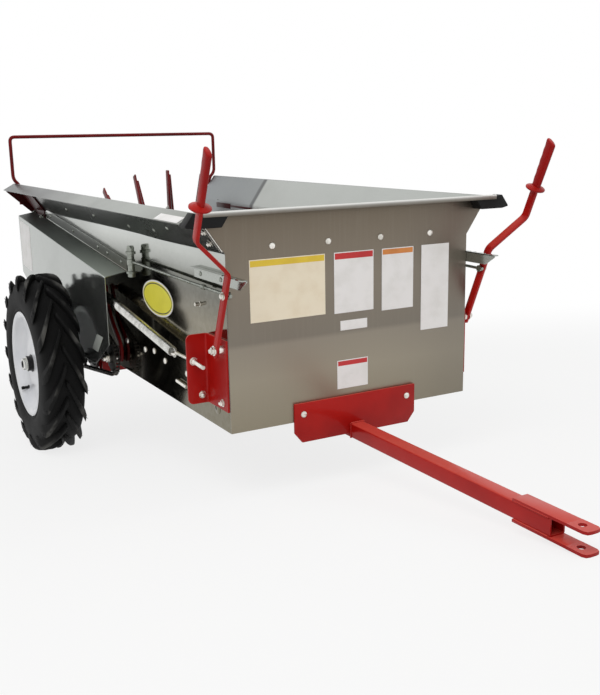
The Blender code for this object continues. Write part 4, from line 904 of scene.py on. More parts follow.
def addCornerCap(name, sign):
    under = box["lipHeight"] - box["sheet"] - 0.0003
    inner = box["half"] + 0.003
    fold = box["half"] + box["flareOut"] + 0.0003
    outer = box["half"] + box["flareOut"] + box["lipReach"]
    low = box["lipHeight"] - 0.030
    line = [(inner, under), (inner + 0.018, low), (outer - 0.018, low), (outer, box["lipHeight"] - 0.026),
            (outer, box["lipHeight"] - 0.023), (fold + 0.021, box["lipHeight"] + 0.0045),
            (fold, box["lipHeight"]), (fold, under)]
    bm = bmesh.new()
    slab(bm, [(x * sign, z) for x, z in line], "y", -0.0367, -0.0033, 0.0016, 3)
    addPiece("cornerCap_" + name, bm, ("plastic",), ["corner_cap_" + name])


# the tab's strips: y from, y to, height off the flare
panelTab = {
    "strips": ((0.0006, 0.0150, 0.0016), (0.0004, 0.0024, 0.0026), (0.0130, 0.0152, 0.0026)),
    "ends": (0.430, 0.496),
    "hems": (0.0026, 0.0128),
}


def addPanelTab(name, sign):
    # the front panel's edge folded back on the flare's underside: between the hems it takes the flare underside's
    # painted shade, and its raised rims are pale zinc, a painted highlight along the hems
    bm = bmesh.new()
    for low, high, lift in panelTab["strips"]:
        line = [onFlare(sign, low, height, lift) for height in panelTab["ends"]]
        facing = (sign * flareNormal[0], 0, flareNormal[1])
        foldedSheet(bm, line, (0, high - low, 0), lift - 0.0004, 0.001, facing)

    def pick(face):
        return 0 if panelTab["hems"][0] <= face.calc_center_median().y <= panelTab["hems"][1] else 1
    addPiece("panelTab_" + name, bm, ("under", "nickel"), sort=pick)


lipLabel = {"reaches": (0.0195, 0.0395), "front": 0.013, "length": 0.142, "thick": 0.0005, "lift": (0.0018, 0.0033)}


def addLipLabel():
    # the blank white label on the left lip
    bm = bmesh.new()
    line = []
    out, up = lipLabel["lift"]
    for reach in lipLabel["reaches"]:
        drop = box["lipDrop"] * reach / box["lipReach"]
        x = box["half"] + box["flareOut"] + reach + out
        line.append((-x, lipLabel["front"], box["lipHeight"] - drop + up))
    facing = (-box["lipDrop"], 0, box["lipReach"])
    foldedSheet(bm, line, (0, lipLabel["length"], 0), lipLabel["thick"], 0.001, facing)
    addPiece("lipLabel_left", bm, ("plateWhite",))


# strips: proud of the wall, y from, y to, z from, z to
beaterShadeStrips = ((0.0012, 1.425, 1.553, 0.402, 0.4215), (0.0009, 1.240, 1.427, 0.4095, 0.4170))


def addBeaterShadeStrips():
    # painted shade: dark red strips inside the right wall beside the beater, standing for the shade and the beater's
    # red reflection on the wall
    bm = bmesh.new()
    face = box["half"] - box["sheet"]
    for proud, front, rear, low, high in beaterShadeStrips:
        block(bm, (face - proud, front, low), (face + 0.001, rear, high), 0.0004)
    addPiece("beaterShade_right", bm, ("blackishRed",))


shaftPlug = {
    "y": 0.072,
    "z": 0.047,
    "line": ((0, 0), (0, 0.0165), (0.0004, 0.0165), (0.0008, 0.0155), (0.0008, 0)),
}


def addShaftPlug(name, sign):
    # the blind cover over the end of the conveyor's front shaft
    bm = bmesh.new()
    lathe(bm, shaftPlug["line"], (sign * (box["half"] + 0.0001), shaftPlug["y"], shaftPlug["z"]), (sign, 0, 0))
    addPiece("shaftPlug_" + name, bm, ("wall",))


addFrontPanel()
addPlates()
addLipLabel()
addBeaterShadeStrips()
for name, sign in sides:
    addBoxSide(name, sign)
    addWallBolts(name, sign)
    addOval(name, sign)
    addCornerCap(name, sign)
    addPanelTab(name, sign)
    addShaftPlug(name, sign)
print("box made")

# ---- hitch, tongue, underframe

hitch = {
    "half": 0.1785,
    "front": -0.0093,
    "rear": -0.0033,
    "top": 0.047,
    "bottom": -0.053,
    "chamferX": 0.021,
    "chamferZ": 0.026,
    "boltX": 0.153,
    "boltZ": 0.019,
    "tube": 0.038,
    "tubeWall": 0.0032,
    "tubeZ": -0.0455,
    "tubeEnd": -0.707,
    "strapFrom": -0.603,
    "strapTip": -0.798,
    "strapHalf": 0.020,
    "strapThick": 0.0064,
    "pinHole": 0.0085,
    "holeSetback": 0.030,
    "holeSides": 24,
    "blunt": 0.006,
    "weld": 0.003,
    "seam": 0.0022,
}


def hollowTube(bm, start, end, size, wall, axis):
    # square tube, its long edges rounded and both ends open
    part = bmesh.new()
    place = Matrix.Translation((Vector(start) + Vector(end)) / 2)
    length = (Vector(end) - Vector(start)).length
    scale = (length, size, size) if axis == "x" else (size, length, size)
    bmesh.ops.create_cube(part, size=1, matrix=place @ Matrix.Diagonal((*scale, 1)))
    part.normal_update()
    which = 0 if axis == "x" else 1
    ends = [face for face in part.faces if abs(face.normal[which]) > 0.9]
    bmesh.ops.delete(part, geom=ends, context="FACES_ONLY")
    bendFolds(part, size * 0.11)
    bmesh.ops.recalc_face_normals(part, faces=part.faces[:])
    across = (part.faces[0].calc_center_median() - place.translation).dot(part.faces[0].normal)
    if across < 0:
        bmesh.ops.reverse_faces(part, faces=part.faces[:])
    bmesh.ops.solidify(part, geom=part.faces[:], thickness=wall)
    join(bm, part)


def strapWithHole(bm, low, high):
    # a flat strap with its pin hole: a ring bridged to a blunt square end, then the long bar
    hole = hitch["strapTip"] + hitch["holeSetback"]
    half = hitch["strapHalf"]
    inner = []
    outer = []
    tip = hitch["strapTip"]
    blunt = hitch["blunt"]
    square = [(half, hole + half), (-half, hole + half), (-half, tip + blunt), (-half + blunt, tip),
              (half - blunt, tip), (half, tip + blunt)]
    for i in range(hitch["holeSides"]):
        angle = math.tau * i / hitch["holeSides"]
        across = Vector((math.cos(angle), math.sin(angle)))
        reach = 1e9
        for near, far in zip(square, square[1:] + square[:1]):
            edge = Vector(far) - Vector(near)
            normal = Vector((edge.y, -edge.x)).normalized()
            gap = (Vector(near) - Vector((0, hole))).dot(normal)
            lean = across.dot(normal)
            if gap * lean > 0 and gap / lean < reach:
                reach = gap / lean
        inner.append((hitch["pinHole"] * across.x, hole + hitch["pinHole"] * across.y, low))
        outer.append((reach * across.x, hole + reach * across.y, low))
    part = bmesh.new()
    loft(part, [inner, outer], capped=False)
    thicken(part, high - low, (0, 0, -1))
    join(bm, part)
    slab(bm, [(-half, hole + half - 0.0005), (half, hole + half - 0.0005), (half, hitch["strapFrom"]),
              (-half, hitch["strapFrom"])], "z", low, high, 0.0006)


def addHitch():
    half = hitch["half"]
    outline = [(-half + hitch["chamferX"], hitch["bottom"]), (half - hitch["chamferX"], hitch["bottom"]),
               (half, hitch["bottom"] + hitch["chamferZ"]), (half, hitch["top"]), (-half, hitch["top"]),
               (-half, hitch["bottom"] + hitch["chamferZ"])]
    bm = bmesh.new()
    slab(bm, outline, "y", hitch["front"], hitch["rear"], 0.0009, 2)
    addPiece("hitchPlate", bm, ("red",), ["hitch_plate"])
    spots = [(x, hitch["front"], hitch["boltZ"]) for x in (-hitch["boltX"], hitch["boltX"])]
    addBolts("hitchBolts", smallDome, spots, (0, -1, 0))
    bm = bmesh.new()
    z = hitch["tubeZ"]
    half = hitch["tube"] / 2
    hollowTube(bm, (0, hitch["tubeEnd"], z), (0, hitch["front"] - 0.0003, z), hitch["tube"], hitch["tubeWall"], "y")
    for low in (z + half, z - half - hitch["strapThick"]):
        strapWithHole(bm, low, low + hitch["strapThick"])
    foot = hitch["front"] - 0.002
    for edge in (-half, half):
        for level in (z + half, z - half):
            weldRun(bm, (edge, hitch["tubeEnd"] + 0.006, level), (edge, hitch["strapFrom"] - 0.004, level),
                    hitch["seam"], (1, 0, 0))
        weldRun(bm, (edge, foot, z - half), (edge, foot, z + half), hitch["weld"], (1, 0, 0))
    for y in (hitch["strapFrom"], foot):
        weldRun(bm, (-half, y, z + half), (half, y, z + half), hitch["weld"], (0, 1, 0))
    addPiece("tongueTube", bm, ("red",), ["tongue"])


crossY = 0.999


def addUnderframe():
    half = hitch["tube"] / 2
    z = hitch["tubeZ"]
    rear = crossY - half
    bm = bmesh.new()
    block(bm, (-half, -0.003, z - half), (half, rear - 0.0003, z + half), 0.004, 3)
    hollowTube(bm, (-box["half"], crossY, z), (box["half"], crossY, z), hitch["tube"], hitch["tubeWall"], "x")
    for level in (z + half, z - half):
        weldRun(bm, (-half, rear - 0.0005, level), (half, rear - 0.0005, level), hitch["weld"], (0, 1, 0))
    addPiece("underframeTubes", bm, ("red",), ["underframe"])


addHitch()
addUnderframe()
print("hitch, tongue and underframe made")

# ---- wheels

wheel = {
    "x": wheelCentre[0],
    "y": wheelCentre[1],
    "z": wheelCentre[2],
    "lugs": 16,
    "sweep": math.radians(26),
    "tread": 0.056,
    "steps": 96,
    "crown": 0.2495,
    "hairs": ((0.2655, 0.0640), (0.2500, 0.0658)),
    "hairTurn": 1.12,
}

# half of the tyre's section: across from the middle, radius
tyreHalf = (
    (0.0537, 0.1552), (0.0537, 0.1693), (0.0588, 0.1702), (0.0612, 0.1728), (0.0618, 0.1765), (0.0606, 0.1795),
    (0.0628, 0.1850), (0.0646, 0.1945), (0.0655, 0.2060), (0.0652, 0.2180), (0.0643, 0.2290), (0.0630, 0.2385),
    (0.0606, 0.2470), (0.0570, 0.2540), (0.0500, 0.2590), (0.0380, 0.2620), (0.0200, 0.2636),
)
# a lug: across, bottom radius, top radius, width at the foot, width at the top
lugRings = (
    (-0.0030, 0.2600, 0.2790, 0.0230, 0.0140),
    (0.0020, 0.2610, 0.2838, 0.0300, 0.0215),
    (0.0180, 0.2610, 0.2840, 0.0315, 0.0235),
    (0.0360, 0.2590, 0.2840, 0.0335, 0.0260),
    (0.0500, 0.2550, 0.2838, 0.0355, 0.0285),
    (0.0580, 0.2490, 0.2800, 0.0365, 0.0295),
    (0.0640, 0.2420, 0.2660, 0.0350, 0.0275),
    (0.0668, 0.2370, 0.2500, 0.0315, 0.0235),
)


def lugShape():
    bm = bmesh.new()
    rings = []
    for across, low, high, wide, narrow in lugRings:
        lean = wheel["sweep"] * max(across, 0) / wheel["tread"]
        ring = []
        for radius, offset in ((low, -wide / 2), (low, wide / 2), (high, narrow / 2), (high, -narrow / 2)):
            angle = lean + offset / radius
            ring.append((across, radius * math.cos(angle), radius * math.sin(angle)))
        rings.append(ring)
    loft(bm, rings)
    crown = []
    for edge in bm.edges:
        out = [math.hypot(vert.co.y, vert.co.z) for vert in edge.verts]
        if min(out) > wheel["crown"] and len(edge.link_faces) == 2 and edge.calc_face_angle(0) > 0.35:
            crown.append(edge)
    softEdges(bm, crown, 0.0016, 2)
    return asShape(bm)


def whisker():
    # a hair of rubber left by the mould
    bm = bmesh.new()
    lathe(bm, [(0, 0.0007), (0.004, 0.0006), (0.008, 0.0002), (0.0082, 0)], steps=5)
    return asShape(bm)


def addTyre(name, sign):
    bm = bmesh.new()
    points = [(-across, radius) for across, radius in tyreHalf] + [(0, 0.2640)] + list(reversed(tyreHalf))
    lathe(bm, points, (0, 0, 0), (1, 0, 0), wheel["steps"], closed=True)
    lug = lugShape()
    hair = whisker()
    pitch = math.tau / wheel["lugs"]
    for i in range(wheel["lugs"]):
        for half, offset in ((1, 0.5), (-1, 0.0)):
            turned = pitch * (i + offset) + pitch / 8
            addCopy(bm, lug, Matrix.Rotation(turned, 4, "X") @ Matrix.Diagonal((half, 1, 1, 1)))
            tip = turned + wheel["sweep"] * wheel["hairTurn"]
            for radius, push in wheel["hairs"]:
                place = Vector((half * push, radius * math.cos(tip), radius * math.sin(tip)))
                out = Vector((half * 0.25, math.cos(tip), math.sin(tip)))
                addCopy(bm, hair, aim(place, out))
    # a left wheel is the right wheel's mirror, as its tread also points the other way
    middle = Matrix.Translation((sign * wheel["x"], wheel["y"], wheel["z"])) @ Matrix.Diagonal((sign, 1, 1, 1))
    bmesh.ops.transform(bm, matrix=middle, verts=bm.verts[:])
    addPiece("lugTyre_" + name, bm, ("rubber",), ["tyre_" + name], "wheel_" + name, sharp=34)


rimSection = (
    (0.0372, 0.0245), (0.0372, 0.0580), (0.0366, 0.0690), (0.0345, 0.0830), (0.0315, 0.0980), (0.0300, 0.1110),
    (0.0306, 0.1210), (0.0340, 0.1310), (0.0400, 0.1400), (0.0480, 0.1462), (0.0556, 0.1497), (0.0582, 0.1550),
    (0.0594, 0.1620), (0.0600, 0.1665), (0.0590, 0.1688), (0.0566, 0.1690), (0.0546, 0.1670), (0.0540, 0.1600),
    (0.0530, 0.1547), (0.0200, 0.1547), (0.0160, 0.1530), (-0.0160, 0.1530), (-0.0200, 0.1547),
    (-0.0530, 0.1547), (-0.0540, 0.1600), (-0.0546, 0.1670), (-0.0566, 0.1690), (-0.0590, 0.1688),
    (-0.0600, 0.1665), (-0.0594, 0.1620), (-0.0582, 0.1550), (-0.0556, 0.1500), (-0.0200, 0.1497),
    (0.0240, 0.1490), (0.0330, 0.1440), (0.0300, 0.1360), (0.0262, 0.1240), (0.0250, 0.1110), (0.0266, 0.0960),
    (0.0296, 0.0810), (0.0318, 0.0670), (0.0322, 0.0580), (0.0322, 0.0245),
)


# the valve: its place from the wheel's centre, then a rubber stem through the disc, pointing outward
valve = {
    "offset": (0.0328, 0.0876, -0.101),
    "line": ((0, 0), (0, 0.0078), (0.0025, 0.0070), (0.0045, 0.0052), (0.0165, 0.0046), (0.0168, 0.0056),
             (0.0240, 0.0056), (0.0252, 0.0044), (0.0252, 0)),
}


def addRim(name, sign):
    bm = bmesh.new()
    lathe(bm, rimSection, (sign * wheel["x"], wheel["y"], wheel["z"]), (sign, 0, 0), wheel["steps"], closed=True)
    addPiece("wheelRim_" + name, bm, ("white",), ["wheel_rim_" + name], "wheel_" + name, sharp=50)
    dark = bmesh.new()
    x, y, z = Vector(wheelCentre) + Vector(valve["offset"])
    lathe(dark, valve["line"], (sign * x, y, z), (sign, 0, 0), 16)
    addPiece("valveStem_" + name, dark, ("plastic",), body="wheel_" + name)


# the weld joins hub and disc; a grease nipple stands on the hub
hub = {
    "line": ((0.4552, 0.0131), (0.4552, 0.0225), (0.4566, 0.0240), (0.5440, 0.0240), (0.5516, 0.0240),
             (0.5640, 0.0240), (0.5648, 0.0250), (0.5668, 0.0250), (0.5679, 0.0236), (0.5679, 0.0131)),
    "weld": ((0.5512, 0.0240), (0.5512, 0.0268), (0.5530, 0.0286), (0.5550, 0.0268), (0.5560, 0.0240)),
    "nipple": ((0, 0), (0, 0.0035), (0.003, 0.0035), (0.003, 0.0022), (0.007, 0.0016), (0.009, 0.0026),
               (0.011, 0)),
    "nippleX": 0.480,
    "nippleUp": 0.0235,
}


def addHub(name, sign):
    bm = bmesh.new()
    for line in (hub["line"], hub["weld"]):
        lathe(bm, line, (0, wheel["y"], wheel["z"]), (sign, 0, 0), 40, closed=True)
    lathe(bm, hub["nipple"], (sign * hub["nippleX"], wheel["y"], wheel["z"] + hub["nippleUp"]), (0, 0, 1), 10)
    addPiece("wheelHub_" + name, bm, ("steel",), ["wheel_hub_" + name], "wheel_" + name)


for name, sign in sides:
    addTyre(name, sign)
    addRim(name, sign)
    addHub(name, sign)
print("wheels made")

# ---- drive: axle, sprockets, chains, idlers, guards

# sprockets: y, z, radius
drive = {
    "x": 0.378,
    "axle": (wheel["y"], wheel["z"], 0.028),
    "idler": (0.772, 0.033, 0.045),
    "beater": (1.610, 0.345, 0.040),
    "apron": (1.660, 0.047, 0.034),
    "tooth": 0.007,
    "disc": 0.006,
    "clear": 0.0015,
    "pitch": 0.0127,
}


def sprocket(bm, spot, middle, sign, bossRadius=0.014, bossReach=0.006):
    y, z, radius = spot
    teeth = max(int(math.tau * radius / drive["pitch"]), 9)
    low = middle - drive["disc"] / 2
    root = radius - drive["tooth"]
    place = Matrix.Translation((low, y, z)) @ Matrix.Rotation(math.pi / 2, 4, "Y")
    part = bmesh.new()
    bmesh.ops.create_circle(part, cap_ends=True, segments=teeth * 4, radius=root, matrix=place)
    grown = bmesh.ops.extrude_face_region(part, geom=part.faces[:])["geom"]
    bmesh.ops.translate(part, verts=vertsOf(grown), vec=(drive["disc"], 0, 0))
    centre = Vector((middle, y, z))
    rim = [face for face in part.faces if len(face.verts) == 4]
    rim.sort(key=lambda face: math.atan2(face.calc_center_median().z - z, face.calc_center_median().y - y))
    for i in range(teeth):
        pair = rim[i * 4:i * 4 + 2]
        out = sum((face.calc_center_median() - centre for face in pair), Vector()).normalized()
        raised = bmesh.ops.extrude_face_region(part, geom=pair)["geom"]
        bmesh.ops.delete(part, geom=pair, context="FACES_ONLY")
        for vert in vertsOf(raised):
            away = vert.co - centre
            aside = away - out * away.dot(out)
            aside.x = 0
            vert.co += out * drive["tooth"] - aside * 0.62
            vert.co.x += (middle - vert.co.x) * 0.45
    join(bm, part)
    end = drive["disc"] / 2 + bossReach
    boss = [(0, 0), (0, bossRadius), (end - 0.001, bossRadius), (end, bossRadius - 0.001), (end, 0)]
    for facing in (sign, -sign):
        lathe(bm, boss, centre, (facing, 0, 0), 24)


def beltPath(wheels, extra):
    # the line of a chain round circles given counter-clockwise as (y, z, radius)
    headings = []
    for i, first in enumerate(wheels):
        second = wheels[(i + 1) % len(wheels)]
        run = Vector((second[0] - first[0], second[1] - first[1]))
        headings.append(math.atan2(run.y, run.x) - math.acos((first[2] - second[2]) / run.length))
    points = []
    for i, (y, z, radius) in enumerate(wheels):
        start = headings[i - 1]
        end = headings[i]
        while end < start:
            end += math.tau
        reach = radius + extra
        for step in range(25):
            angle = start + (end - start) * step / 24
            points.append(Vector((0, y + reach * math.cos(angle), z + reach * math.sin(angle))))
    return points


def spaced(points, pitch):
    # the closed line cut into equal steps near the pitch
    closed = points + [points[0]]
    lengths = [(far - near).length for near, far in zip(closed, closed[1:])]
    count = round(sum(lengths) / pitch / 2) * 2
    step = sum(lengths) / count
    stops = []
    i = 0
    passed = 0
    for k in range(count):
        goal = k * step
        while passed + lengths[i] < goal:
            passed += lengths[i]
            i += 1
        stops.append(closed[i].lerp(closed[i + 1], (goal - passed) / lengths[i]))
    return stops


def linkShape(length, half, gap, thick, roller):
    # two waisted plates and one roller; local X is the run, Z is across the chain
    bm = bmesh.new()
    waist = half * 0.72
    end = length / 2
    slant = half * 0.6
    rise = half * 0.85
    outline = [(-end - half, 0), (-end - slant, -rise), (-end, -half), (0, -waist), (end, -half),
               (end + slant, -rise), (end + half, 0), (end + slant, rise), (end, half), (0, waist), (-end, half),
               (-end - slant, rise)]
    for low in (-gap - thick, gap):
        slab(bm, outline, "z", low, low + thick)
    reach = gap + thick + 0.0006
    lathe(bm, [(-reach, 0), (-reach, roller * 0.5), (-gap, roller * 0.5), (-gap, roller), (gap, roller),
               (gap, roller * 0.5), (reach, roller * 0.5), (reach, 0)], (end, 0, 0), (0, 0, 1), 8)
    return asShape(bm)


def addLinks(bm, stops, middle, outer, inner):
    for i, stop in enumerate(stops):
        ahead = stops[(i + 1) % len(stops)]
        run = (ahead - stop).normalized()
        across = Vector((1, 0, 0))
        up = across.cross(run)
        place = Matrix((run, up, across)).transposed().to_4x4()
        place.translation = (stop + ahead) / 2 + Vector((middle, 0, 0))
        addCopy(bm, outer if i % 2 else inner, place)


# links: half height, half gap, plate, roller
links = {"outer": (0.0049, 0.0062, 0.0014, 0.0038), "inner": (0.0047, 0.0046, 0.0014, 0.0038), "lift": 0.005}


def addChain(name, sign, driven):
    wheels = [(*drive[key][:2], drive[key][2] + drive["clear"]) for key in ("axle", driven, "idler")]
    stops = spaced(beltPath(wheels, links["lift"]), drive["pitch"])
    pitch = (stops[1] - stops[0]).length
    outer = linkShape(pitch, *links["outer"])
    inner = linkShape(pitch, *links["inner"])
    bm = bmesh.new()
    addLinks(bm, stops, drive["x"] * sign, outer, inner)
    addPiece("driveChain_" + name, bm, ("chain",), ["drive_chain_" + name])


# the axle's rings: x where each starts, then its profile
axle = {
    "end": 0.5824,
    "radius": 0.0123,
    "tipRadius": 0.0105,
    "chamfer": 0.0015,
    "collars": (
        (0.405, ((0, 0.0124), (0, 0.020), (0.001, 0.021), (0.017, 0.021), (0.018, 0.020), (0.018, 0.0124))),
        (0.320, ((0, 0.0124), (0, 0.0195), (0.016, 0.0195), (0.016, 0.0124))),
    ),
    "nut": (0.5755, 0.0198, 0.0105),
    "washer": (0.5683, ((0, 0.0126), (0, 0.0225), (0.0014, 0.0228), (0.0020, 0.0222), (0.0020, 0.0126))),
    "cap": (0.5812, ((0, 0), (0, 0.0105), (0.0006, 0.0105), (0.0012, 0.0088), (0.0012, 0))),
}


def addAxle():
    y, z = wheel["y"], wheel["z"]
    bm = bmesh.new()
    half = [(axle["end"] - axle["chamfer"], axle["radius"]), (axle["end"], axle["tipRadius"]), (axle["end"], 0)]
    lathe(bm, [(-along, radius) for along, radius in reversed(half)] + half, (0, y, z), (1, 0, 0))
    for sign in (-1, 1):
        sprocket(bm, drive["axle"], sign * drive["x"], sign)
        for x, line in axle["collars"]:
            lathe(bm, line, (sign * x, y, z), (sign, 0, 0), 28, closed=True)
    addPiece("wheelAxle", bm, ("steel",), ["axle"])
    nuts = bmesh.new()
    nutX, radius, depth = axle["nut"]
    for sign in (-1, 1):
        cone = bmesh.ops.create_cone(nuts, cap_ends=True, segments=6, radius1=radius, radius2=radius, depth=depth,
                                     matrix=aim((sign * nutX, y, z), (sign, 0, 0)))
        softEdges(nuts, edgesOf(cone["verts"]), 0.0014)
        for (x, line), steps, closed in ((axle["washer"], 36, True), (axle["cap"], 24, False)):
            lathe(nuts, line, (sign * x, y, z), (sign, 0, 0), steps, closed)
    addPiece("axleNuts", nuts, ("zinc",))


# the idler's arm: its curve in shares of the way from the idler's centre to the spring's hook
arm = {
    "inner": 0.351,
    "thick": 0.008,
    "width": 0.020,
    "curve": ((1.0, 1.0), (0.90, 0.86), (0.80, 0.70), (0.60, 0.56), (0.36, 0.44), (0.12, 0.355), (-0.10, 0.27),
              (-0.22, 0.205), (-0.29, 0.12), (-0.28, 0.05), (-0.20, -0.01), (-0.09, -0.02), (0.05, 0.0)),
    "hook": (0.862, 0.2306),
    "boss": ((0, 0), (0, 0.0125), (0.001, 0.0135), (0.007, 0.0135), (0.008, 0.0125), (0.008, 0)),
    "hookPin": ((0, 0), (0, 0.0058), (0.0295, 0.0058), (0.0300, 0.0068), (0.0318, 0.0068), (0.0322, 0)),
    "axlePin": ((0, 0), (0, 0.0078), (0.0400, 0.0078), (0.0460, 0.0070), (0.0466, 0.0055), (0.0466, 0)),
    "axlePinX": 0.3594,
    "nutX": 0.3885,
}


def addIdler(name, sign):
    y, z, radius = drive["idler"]
    bm = bmesh.new()
    sprocket(bm, drive["idler"], sign * drive["x"], sign, 0.017, 0.005)
    addPiece("idlerSprocket_" + name, bm, ("chain",), ["idler_sprocket_" + name])
    pin = bmesh.new()
    lathe(pin, arm["axlePin"], (sign * arm["axlePinX"], y, z), (sign, 0, 0), 18)
    addCopy(pin, hexHead(0.0125, 0.007, 0.0016), aim((sign * arm["nutX"], y, z), (sign, 0, 0), 0.3))
    addPiece("idlerBolt_" + name, pin, ("nickel",))
    bar = bmesh.new()
    middle = sign * (arm["inner"] + arm["thick"] / 2)
    hookY, hookZ = arm["hook"]
    path = [(middle, y + (hookY - y) * out, z + (hookZ - z) * up) for out, up in arm["curve"]]
    sweep(bar, path, flatBar(arm["thick"] / 2, arm["width"] / 2, 0.0012), (1, 0, 0))
    for spot in ((y, z), (hookY, hookZ)):
        lathe(bar, arm["boss"], (sign * arm["inner"], *spot), (sign, 0, 0), 24)
    lathe(bar, arm["hookPin"], (sign * (arm["inner"] + arm["thick"] - 0.002), hookY, hookZ), (sign, 0, 0), 14)
    addPiece("idlerArm_" + name, bar, ("darkRed",), ["idler_arm_" + name])


guard = {
    "x": 0.414,
    "wall": 0.3473,
    "sheet": 0.002,
    "outline": ((0.676, 0.294), (0.676, 0.094), (0.822, 0.007), (1.240, 0.007), (1.690, 0.190), (1.690, 0.402)),
    "rise": 0.012,
    "flange": 0.033,
    "cutFrom": 1.553,
    "cutX": 0.3535,
    "boltY": (0.720, 0.844, 0.936, 1.200, 1.480, 1.535),
    "boltUp": 0.030,
    "tab": ((0.7856, 0.108), (0.7290, 0.1072), (0.788, 0.0519), (0.845, 0.0531)),
    "tabThick": 0.0008,
    "plateY": (1.535, 1.672),
    "plateLow": (0.205, 0.218),
    "plateGap": 0.014,
    "plateThick": 0.0006,
}


def guardTop(y):
    # the height of the guard's outer top edge
    (frontY, frontZ), (rearY, rearZ) = guard["outline"][0], guard["outline"][-1]
    return frontZ + (rearZ - frontZ) * (y - frontY) / (rearY - frontY)


def addGuard(name, sign):
    bm = bmesh.new()
    verts = [bm.verts.new((guard["x"] * sign, y, z)) for y, z in guard["outline"]]
    bm.faces.new(verts)
    edge = bm.edges.get((verts[0], verts[-1]))
    inward = Vector(((guard["wall"] - guard["x"]) * sign, 0, guard["rise"]))
    for step in (inward, Vector((0, 0, guard["flange"]))):
        grown = bmesh.ops.extrude_edge_only(bm, edges=[edge])["geom"]
        far = vertsOf(grown)
        bmesh.ops.translate(bm, verts=far, vec=step)
        edge = [item for item in grown if isinstance(item, bmesh.types.BMEdge)
                and all(vert in far for vert in item.verts)][0]
    softEdges(bm, [link for link in bm.edges if len(link.link_faces) == 2], 0.003, 4)
    for where, normal in (((0, guard["cutFrom"], 0), (0, 1, 0)), ((guard["cutX"] * sign, 0, 0), (1, 0, 0))):
        geom = bm.verts[:] + bm.edges[:] + bm.faces[:]
        bmesh.ops.bisect_plane(bm, geom=geom, plane_co=where, plane_no=normal)
    middles = [(face, face.calc_center_median()) for face in bm.faces]
    gone = [face for face, middle in middles if middle.y > guard["cutFrom"] and abs(middle.x) < guard["cutX"]]
    bmesh.ops.delete(bm, geom=gone, context="FACES")
    thicken(bm, guard["sheet"], (sign, 0, 0))

    def pick(face):
        # inward and downward faces take the under finish, painted dark as shade; top faces take guardTop's painted
        # shading
        if face.normal.x * sign < -0.2 or face.normal.z < -0.5:
            return 1
        if abs(face.calc_center_median().x) < guard["wall"] + 0.003:
            return 3
        return 2 if face.normal.z > 0.6 else 0
    addPiece("chainGuard_" + name, bm, ("guard", "under", "guardTop", "wall"), ["chain_guard_" + name],
             soften=0.0005, sort=pick)
    spots = [(guard["wall"] * sign, y, guardTop(y) + guard["boltUp"]) for y in guard["boltY"]]
    addBolts("guardBolts_" + name, lowDome, spots, (sign, 0, 0), "rod")
    low = list(zip(guard["plateY"], guard["plateLow"]))
    high = [(y, guardTop(y) - guard["plateGap"]) for y in reversed(guard["plateY"])]
    for label, outline, thick, finish in (("guardTab_", guard["tab"], guard["tabThick"], "plateGrey"),
                                          ("guardPlate_", low + high, guard["plateThick"], "plateWhite")):
        plate = bmesh.new()
        slab(plate, outline, "x", *sorted((guard["x"] * sign, (guard["x"] + thick) * sign)), 0.0002, 1)
        addPiece(label + name, plate, (finish,))


bracket = {
    "gap": 0.0003,
    "plate": 0.006,
    "top": 0.100,
    "half": 0.095,
    "cut": 0.012,
    "eye": 0.055,
    "bearing": ((0.0, 0.0128), (0.0, 0.0355), (0.004, 0.036), (0.005, 0.030), (0.007, 0.027), (0.013, 0.026),
                (0.014, 0.024), (0.014, 0.0128)),
    "rivetRing": 0.0315,
    "boltY": (-0.070, 0.070),
    "boltZ": (0.082, 0.045),
}


def addAxleBracket(name, sign):
    y, z = wheel["y"], wheel["z"]
    inner = box["half"] + bracket["gap"]
    face = sign * (inner + bracket["plate"])
    angles = [math.pi * (1 + i / 16) for i in range(17)]
    outline = [(y + bracket["eye"] * math.cos(angle), z + bracket["eye"] * math.sin(angle)) for angle in angles]
    half = bracket["half"]
    cut = bracket["cut"]
    top = bracket["top"]
    outline += [(y + half, top - cut), (y + half - cut, top), (y - half + cut, top), (y - half, top - cut)]
    bm = bmesh.new()
    slab(bm, outline, "x", *sorted((inner * sign, face)), 0.0008)
    # painted shade: the bracket is given the near-black red for the shade it sits in
    addPiece("axleBracket_" + name, bm, ("blackishRed",), ["axle_bracket_" + name])
    house = bmesh.new()
    lathe(house, bracket["bearing"], (face, y, z), (sign, 0, 0), 36, closed=True)
    rivet = domeHead(0.004, 0.0025, 10)
    for angle in (math.radians(90), math.radians(210), math.radians(330)):
        aside = Vector((0.003 * sign, math.cos(angle) * bracket["rivetRing"], math.sin(angle) * bracket["rivetRing"]))
        addCopy(house, rivet, aim(Vector((face, y, z)) + aside, (sign, 0, 0)))
    addPiece("axleBearing_" + name, house, ("steel",))
    spots = [(face, y + offset, level) for offset in bracket["boltY"] for level in bracket["boltZ"]]
    addBolts("bracketBolts_" + name, smallHex, spots, (sign, 0, 0), "zinc")


addAxle()
for name, sign in sides:
    addChain(name, sign, "beater" if name == "left" else "apron")
    addIdler(name, sign)
    addGuard(name, sign)
    addAxleBracket(name, sign)
print("drive made")

# ---- front corners: brackets, springs, levers, rods

corner = {
    "length": 0.117,
    "bottom": 0.052,
    "top": 0.224,
    "metal": 0.005,
    "reach": 0.057,
    "round": 0.014,
    "sideBolt": (0.0274, 0.0700),
    "flangeBolt": (0.366, 0.0735),
    "pivot": (0.368, 0.0185, 0.201),
    "pivotRadius": 0.0060,
    "spacerRadius": 0.0105,
}


